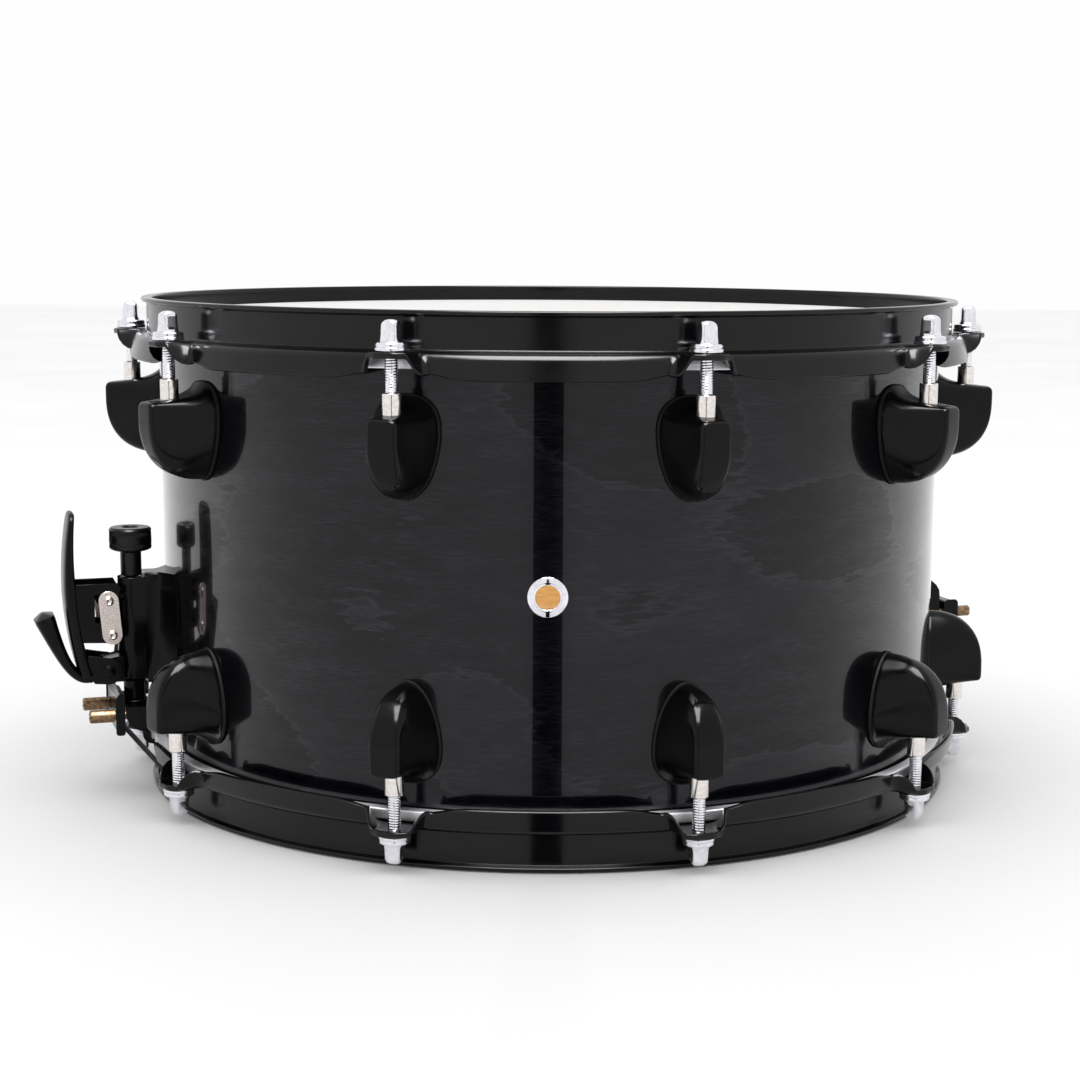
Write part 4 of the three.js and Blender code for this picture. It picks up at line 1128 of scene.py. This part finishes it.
def throw_lever():
    t = np.concatenate([np.linspace(0, 0.08, 9), np.linspace(0.1, 1, 28)])
    blade = bent_bar(BLADE, t, BLADE_WIDTH * end_round(t, 0.08) ** 0.8,
                     (2.4 + 3 * np.minimum(1, 2 * t)) * end_round(t, 0.03), hollow=0.5)
    tail_end = end_round(1 - t, 0.06)
    tail = bent_bar(TAIL, t, TAIL_WIDTH * tail_end ** 0.35, (4.0 + 6.0 * t ** 2.5) * tail_end ** 0.5,
                    square=3.6)
    knuckle = bent_bar([(215.4, 57.5), (214.6, 55.5), (213.9, 53.5), (214.8, 53.0)], np.linspace(0, 1, 8),
                       np.full(8, 17.0), np.linspace(5.2, 4.4, 8))
    cheek = rounded(np.concatenate([
        [(219, 95.3), (201.5, 95.3), (200.4, 93.3), (201.5, 91.4), (211.8, 91.4), (211.8, 78.4)],
        arc(CRANK, 3.6, 80, 270, 12), [(216.5, 70.2), (220, 80)]]), 0)
    arm = rounded(np.concatenate([[(214.5, 63.5), (206, 61.9)], arc(HINGE, 5.4, 100, 270, 14),
                                  [(212, 51.6), (216.2, 56)]]), 0)
    cheeks = [plate(shape, low, high, 0.35) for shape in (cheek, arm) for low, high in ((7, 9), (-9, -7))]
    boss = rounded([(0, 0), (2.9, 0), (2.9, 0.8), (0, 0.8)], [0, 0, 0.4, 0], 3, closed=False)
    bosses = [turned(boss * [1, s], 24, axis="y", centre=(HINGE[0], s * 9.0, HINGE[1])) for s in (-1, 1)]
    return [blade, tail, knuckle, *cheeks, *bosses]


build("lever", on_strainer(throw_lever()), "throw_lever", [CAST_BLACK], ["throw_lever"])

# %% [markdown]
# ## Links, piston and knob
# Two nickel plated links with riveted ends join the lever to the piston's ear. The fine tension knob is
# turned and knurled: in the knurled band its radius rises and falls with two crossed helices, which leave
# small pyramids. The real knurl is half a millimetre; this one is drawn a little coarser so that it shows.

# %% Linkage
LINK_HALF, LINK_FACE = 3.9, 0.8
LINK_AT = 10.6


def links():
    along = CRANK - LINK_TOP
    lean = math.degrees(math.atan2(along[1], along[0]))
    outline = np.concatenate([arc(LINK_TOP, LINK_HALF, lean + 90, lean + 270, 16),
                              arc(CRANK, LINK_HALF, lean + 270, lean + 450, 16)])
    plates = [plate(outline, s * LINK_AT - LINK_FACE, s * LINK_AT + LINK_FACE, 0.3) for s in (-1, 1)]
    pin = [(0, -LINK_AT), (1.6, -LINK_AT), (1.6, LINK_AT), (0, LINK_AT)]
    parts = [*plates, turned(pin, 20, axis="y", centre=(LINK_TOP[0], 0, LINK_TOP[1]))]
    head = np.concatenate([[(0, 0), (2.25, 0)], arc((0, -0.9), 2.42, 22, 60, 6), [(0.9, 0.9), (0, 0.75)]])
    for s in (-1, 1):
        for centre in (LINK_TOP, CRANK):
            at = (centre[0], s * (LINK_AT + LINK_FACE), centre[1])
            parts.append(turned(head * [1, s], 28, axis="y", centre=at))
    return parts


def piston():
    tube_section = rounded([(2.9, 56), (PISTON_RADIUS, 56), (PISTON_RADIUS, 97.4), (2.9, 97.4)],
                           [0, 0.5, 0.4, 0], 3)
    ear = np.concatenate([[(198.2, 92.6), (198.2, 84.2)], arc(LINK_TOP, 4.2, -90, 90, 14)])
    return [turned(tube_section, 36, centre=(PISTON_AT, 0, 0), closed=True), plate(ear, -2.6, 2.6, 0.5)]


KNOB_RADIUS, KNOB_LOW, KNOB_HIGH = 9.3, 109.2, 119.4
KNURL_COUNT, KNURL_DEPTH = 56, 0.35


def knob(places=336):
    """Turned profile, with the knurled band's radius cut by two crossed helices."""
    plain = rounded([(0, 64), (2, 64), (2, 97.9), (PISTON_RADIUS, 97.9), (PISTON_RADIUS, 108.4),
                     (7.6, KNOB_LOW)],
                    [0, 0.3, 0, 0.4, 0.5, 0], 3, closed=False)
    band = np.stack([np.full(15, KNOB_RADIUS), np.linspace(KNOB_LOW + 1.3, KNOB_HIGH - 1.0, 15)], 1)
    top = rounded([(8.7, KNOB_HIGH - 0.2), (8.3, KNOB_HIGH), (3.6, KNOB_HIGH), (3.2, 117.4), (0, 117.2)],
                  [0, 0.3, 0.4, 0.3, 0], 3, closed=False)
    profile = np.concatenate([plain, [[8.9, KNOB_LOW + 0.6]], band, top])
    angle = np.linspace(0, 2 * math.pi, places, endpoint=False)[None, :]
    radius, height = profile[:, :1], profile[:, 1:]
    lead = (height - KNOB_LOW) * 6 / KNOB_RADIUS
    cut = np.maximum(np.abs(np.sin((angle + lead / 6) * KNURL_COUNT / 2)),
                     np.abs(np.sin((angle - lead / 6) * KNURL_COUNT / 2)))
    knurled = (radius > KNOB_RADIUS - 0.01) * (height > KNOB_LOW + 1.5) * (height < KNOB_HIGH - 1.2)
    radius = radius - KNURL_DEPTH * knurled * cut ** 2
    return skin(np.stack([PISTON_AT + radius * np.cos(angle), radius * np.sin(angle), height + 0 * angle],
                         -1), ends="open")


build("links", on_strainer(links()), "lever_link", [NICKEL], ["lever_link"])
build("piston", on_strainer(piston()), "strainer_piston", [CAST_BLACK], ["strainer_piston"])
build("knob", on_strainer([knob()]), "tension_knob", [KNOB_BLACK], ["tension_knob"], smooth=60)

# %% [markdown]
# ## Strap clamps
# Each snare strap is held by a plate and two screws. At the strainer the block hangs from the piston's
# neck; at the butt it is a casting on the shell. Screws have a domed head with a slot, and the slot is a
# real notch in the turned shape: where a point of the head is near the slot's line, it is pushed in.

# %% Clamps
SCREW_START, DOME_HEIGHT = 192, 0.8
CLAMP_SCREW_AT, CLAMP_SCREW_HEIGHT, CLAMP_SCREW_END, CLAMP_SCREW_RADIUS = 13.5, 37.6, 215.8, 2.9
BUTT_SCREW_AT, BUTT_SCREW_HEIGHT, BUTT_SCREW_END, BUTT_SCREW_RADIUS = 14.0, 64.0, 215.5, 2.6
CLAMP_BACK, CLAMP_FRONT, CLAMP_LOW, CLAMP_HIGH, CLAMP_HALF = 188, 199.5, 31.5, 41, 18
TAPE_EDGE_ROUND = 7.5


def block(x0, x1, half, z0, z1, corner=1.0, edge=0.8):
    """A bar across the strap with rounded corners and edges."""
    return plate(rounded([(x0, z0), (x1, z0), (x1, z1), (x0, z1)], corner, 4), -half, half, edge)


def screw(start, end, y, z, radius=2.5, slot_depth=1.0, places=32):
    """A shank and a long head along X, closed by a dome with a slot across it."""
    shank, body_start = radius - 0.9, end - 11.0
    over = np.linspace(0, math.pi / 2, 6)
    dome = np.stack([radius * np.cos(over) ** 0.6, end - DOME_HEIGHT + DOME_HEIGHT * np.sin(over)], 1)
    fill = np.stack([dome[-2, 0] * np.linspace(0.8, 0, 4), np.full(4, end)], 1)
    head = max(body_start, start)
    profile = np.concatenate([[(0, start), (shank, start), (shank, head), (radius, head)], dome[:-1], fill])
    points, faces = turned(profile, places, axis="x", centre=(0, y, z))
    points = points.copy()
    notch = (np.abs(points[:, 2] - z) < 0.45) & (points[:, 0] > end - 0.75)
    points[notch, 0] -= slot_depth
    return points, faces


def strap_clamp():
    neck = rounded([(0, 38), (PISTON_RADIUS, 38), (PISTON_RADIUS, 51), (0, 51)], [0, 0, 0.5, 0], 3,
                   closed=False)
    riser = [(0, 50), (2.5, 50), (2.5, 60), (0, 60)]
    at = (PISTON_AT, 0, 0)
    collar = rounded([(0, 40.6), (6.4, 40.6), (6.4, 42.2), (0, 42.2)], [0, 0, 0.5, 0], 3, closed=False)
    # the lower outer edge is round, because the tape bends over it as the clamp comes down
    corners = [(CLAMP_BACK, CLAMP_LOW), (CLAMP_FRONT, CLAMP_LOW), (CLAMP_FRONT, CLAMP_HIGH),
               (CLAMP_BACK, CLAMP_HIGH)]
    body = rounded(corners, [1.0, TAPE_EDGE_ROUND, 1.0, 1.0], 6)
    return [plate(body, -CLAMP_HALF, CLAMP_HALF, 0.8), turned(neck, 32, centre=at),
            turned(riser, 20, centre=at),
            turned(collar, 36, centre=at)]


def clamp_plate():
    bar = rounded([(201.3, 30), (204, 30), (204, 45.5), (202.6, 47.4), (201.3, 47.4)],
                  [0.6, 0.8, 0.6, 0.4, 0.4], 3)
    return [plate(bar, -CLAMP_HALF, CLAMP_HALF, 0.7)]


def butt_bar():
    return [block(200.1, 206, 19, 58.5, 70, 1.3, 0.9)]


clamp_screws = [screw(SCREW_START, CLAMP_SCREW_END, s * CLAMP_SCREW_AT, CLAMP_SCREW_HEIGHT,
                      CLAMP_SCREW_RADIUS)
                for s in (-1, 1)]
butt_screws = [screw(SCREW_START, BUTT_SCREW_END, s * BUTT_SCREW_AT, BUTT_SCREW_HEIGHT, BUTT_SCREW_RADIUS)
               for s in (-1, 1)]


def on_butt(parts):
    return [outward(part, BUTT_AZIMUTH) for part in parts]


build("clamp_block", on_strainer(strap_clamp()), "strap_clamp", [CAST_BLACK], ["strap_clamp"])
build("clamp_plate", on_strainer(clamp_plate()), "strap_clamp", [CAST_BLACK],
      ["strap_clamp_plate"])
build("clamp_screws", on_strainer(clamp_screws), "strap_clamp", [BRASS])
butt_web = web(low=48.3, high=85, back_half=24, front_half=17.5, front=197.4, crease_top=182.0,
               crease_low=190.0, lean=13.0)
build("butt_casting", on_butt([butt_web]), "drum", [CAST_BLACK], ["butt_base"])
build("butt_bar", on_butt(butt_bar()), "drum", [CAST_BLACK], ["butt_clamp_bar"])
build("butt_screws", on_butt(butt_screws), "drum", [BRASS])

# %% [markdown]
# ## Snare straps
# A strap is a woven tape clamped at one end and slotted to the wires at the other. It is held at both ends,
# so it runs straight between them and bends where it passes the bearing edge. It is a flat section carried
# along a line with rounded bends.

# %% Straps
STRAP_HALF, STRAP_THICK = 11.0, 1.1
WIRES_END = 158.0
STRAP_LOW = 6.1
STRAP_BENDS = [(186.3, 13.6), (180.5, 6.3)]
STRAINER_TAPE_AT, BUTT_TAPE_AT = 200.4, 199.25


def strap(clamp_at, clamp_top, clamp_low):
    """Section corners rounded, carried along the line; returns the part and its place on the weave."""
    corners = [(clamp_at, clamp_top), (clamp_at, clamp_low), *STRAP_BENDS, (WIRES_END + 0.3, STRAP_LOW)]
    line = rounded(corners, [0, 5, 4, 2.5, 0], 8, closed=False)
    fill = [np.linspace(a, b, 6)[:-1] for a, b in zip(line[:-1], line[1:])]
    line = np.concatenate(fill + [line[-1:]])
    along = np.gradient(line, axis=0)
    across = np.stack([-along[:, 1], along[:, 0]], 1) / np.linalg.norm(along, axis=1)[:, None]
    section = rounded([(-STRAP_HALF, -STRAP_THICK / 2), (STRAP_HALF, -STRAP_THICK / 2),
                       (STRAP_HALF, STRAP_THICK / 2),
                       (-STRAP_HALF, STRAP_THICK / 2)], 0.4, 3)
    x = line[:, :1] + across[:, :1] * section[:, 1]
    z = line[:, 1:] + across[:, 1:] * section[:, 1]
    y = np.repeat(section[:, 0][None, :], len(line), 0)
    run = np.concatenate([[0], np.cumsum(np.linalg.norm(np.diff(line, axis=0), axis=1))])
    uv = np.stack([np.repeat(run[:, None], len(section), 1), y], -1).reshape(-1, 2) * MM
    return skin(np.stack([x, y, z], -1)), uv


part, weave_place = strap(STRAINER_TAPE_AT, 46, 31)
strainer_strap = build("strainer_tape", on_strainer([part]), "drum", [TAPE],
                       ["strainer_strap"], uv=weave_place)
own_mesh(strainer_strap)
part, weave_place = strap(BUTT_TAPE_AT, 72, 57)
build("butt_tape", on_butt([part]), "drum", [TAPE], ["butt_strap"], uv=weave_place)

# %% [markdown]
# ## Snare wires
# Twenty coiled strands of steel wire are soldered to a plate at each end. A strand is a helix; a coil of
# the real pitch, 1.2 mm, would need a million faces, so the pitch here is 3 mm and the wire has four sides.
# A plate lies over the strands' ends.

# %% Snare wires
STRANDS, STRAND_PITCH, STRAND_SPREAD = 20, 3.0, 2.0
COIL_RADIUS, WIRE_RADIUS, COIL_HEIGHT = 0.66, 0.24, 6.1
COIL_END = 146.0


def strand(y, per_turn=8, sides=4):
    """Centre line (s, r cos a, r sin a) and a small ring about it, in the plane across the drum's axis."""
    turns = 2 * COIL_END / STRAND_PITCH
    t = np.linspace(0, turns, int(turns * per_turn) + 1)
    a = 2 * math.pi * t
    centre = np.stack([-COIL_END + t * STRAND_PITCH, y + COIL_RADIUS * np.cos(a),
                       COIL_HEIGHT + COIL_RADIUS * np.sin(a)], 1)
    outwards = np.stack([0 * a, np.cos(a), np.sin(a)], 1)
    tangent = np.gradient(centre, axis=0)
    tangent /= np.linalg.norm(tangent, axis=1)[:, None]
    side = np.cross(tangent, outwards)
    ring = 2 * math.pi * np.arange(sides) / sides
    shift = WIRE_RADIUS * (np.cos(ring)[None, :, None] * outwards[:, None, :]
                           + np.sin(ring)[None, :, None] * side[:, None, :])
    return skin(centre[:, None, :] + shift)


def wire_plate(side):
    """A plate with rounded edges, from the strands' ends to the tape."""
    inner, outer = side * 142.0, side * WIRES_END
    low, high = sorted((inner, outer))
    outline = rounded([(low, 5.0), (high, 5.0), (high, 7.1), (low, 7.1)], 0.6, 4)
    return plate(outline, -22, 22, 0.5)


strand_parts = [strand(STRAND_SPREAD * (k - (STRANDS - 1) / 2)) for k in range(STRANDS)]
build("snare_strands", on_strainer(strand_parts), "snare_wires", [STEEL_WIRE], ["snare_wires"],
      smooth=80)
build("snare_end_plates", on_strainer([wire_plate(-1), wire_plate(1)]), "snare_wires",
      [STEEL_WIRE])
print("strands:", triangle_count["snare_strands"], "all:", sum(triangle_count.values()))

# %% [markdown]
# ## Studio
# The drum stands on a pale floor in a white room. Gloss black shows only what it reflects, so the light is
# soft and comes from all round, with one strong softbox overhead that draws the line on the hoop's
# shoulder. A narrow black card, on the floor and behind the camera, reflects as the dark stripe down the
# middle of the shell. Only reflections see it, and only they see the overhead light.

# %% Floor, world and lights
ROOM = 6.0


def floor_material():
    material, shader, place = surface("pale_floor", IOR=1.3)
    mottle = add(material, "TexNoise", {"Vector": place.outputs["Object"], "Scale": 3.0, "Detail": 2.0})
    wire(material, shader,
         Base_Color=ramp(material, mottle.outputs["Fac"], [(0.3, "#f6f6f6"), (0.7, "#fbfbfb")]),
         Roughness=ramp(material, mottle.outputs["Fac"], [(0.3, 0.8), (0.7, 0.9)]))
    return material


def panel(name, corners, material):
    """One flat stage piece from its corners, in metres."""
    mesh = bpy.data.meshes.new(name)
    mesh.from_pydata(corners, [], [range(len(corners))])
    mesh.materials.append(material)
    made = bpy.data.objects.new(name, mesh)
    bpy.context.scene.collection.objects.link(made)
    return made


panel("floor",
      [(-ROOM, -ROOM, -0.0005), (ROOM, -ROOM, -0.0005), (ROOM, ROOM, -0.0005), (-ROOM, ROOM, -0.0005)],
      floor_material())

CARD_DISTANCE, CARD_HALF, CARD_TIP_HALF = 2.4, 0.165, 0.007
CARD_START, CARD_TOP = SHELL_RADIUS * MM + 0.015, 2.2


def black_felt():
    material, shader, place = surface("black_felt", Roughness=1.0, Specular_IOR_Level=0.0)
    nap = add(material, "TexNoise", {"Vector": place.outputs["Object"], "Scale": 30.0})
    wire(material, shader, Base_Color=ramp(material, nap.outputs["Fac"], [(0.3, 0.0), (0.7, 0.002)]))
    return material


card_black = black_felt()
far_left, far_right = (-CARD_HALF, -CARD_DISTANCE), (CARD_HALF, -CARD_DISTANCE)
upright = [(*far_left, 0), (*far_right, 0), (*far_right, CARD_TOP), (*far_left, CARD_TOP)]
on_floor = [(-CARD_TIP_HALF, -CARD_START, 0), (CARD_TIP_HALF, -CARD_START, 0),
            (*far_right, 0), (*far_left, 0)]
cards = [panel("front_card", upright, card_black), panel("front_floor_card", on_floor, card_black)]
for card in cards:
    card.visible_camera = card.visible_diffuse = card.visible_shadow = card.visible_transmission = False

world = bpy.data.worlds.new("white_room")
world.use_nodes = True
world.node_tree.nodes["Background"].inputs["Color"].default_value = linear("#fefeff")
world.node_tree.nodes["Background"].inputs["Strength"].default_value = 1.0
bpy.context.scene.world = world
bpy.context.scene.view_settings.view_transform = "Standard"


def softbox(name, place, aim, size, radiance, lights_floor=True):
    """An area light's power is its radiance times its area times pi."""
    light = bpy.data.lights.new(name, "AREA")
    light.shape, light.size, light.size_y = "RECTANGLE", *size
    light.energy = radiance * size[0] * size[1] * math.pi
    lamp = bpy.data.objects.new(name, light)
    facing = (Vector(aim) - Vector(place)).to_track_quat("-Z", "Y").to_matrix().to_4x4()
    lamp.matrix_world = Matrix.Translation(place) @ facing
    lamp.visible_camera = False
    lamp.visible_diffuse = lights_floor
    bpy.context.scene.collection.objects.link(lamp)
    return lamp


softbox("soft_key", (0, -0.3, 2.2), (0, 0, 0.1), (1.6, 1.6), 1.2)
softbox("light_through_head", (0, 0, 0.195), (0, 0, 0.0), (0.24, 0.24), 2.2)
softbox("shoulder_light", (0, -0.88, 1.7), (0, -0.88, 0.0), (1.05, 1.3), 24.0, lights_floor=False)
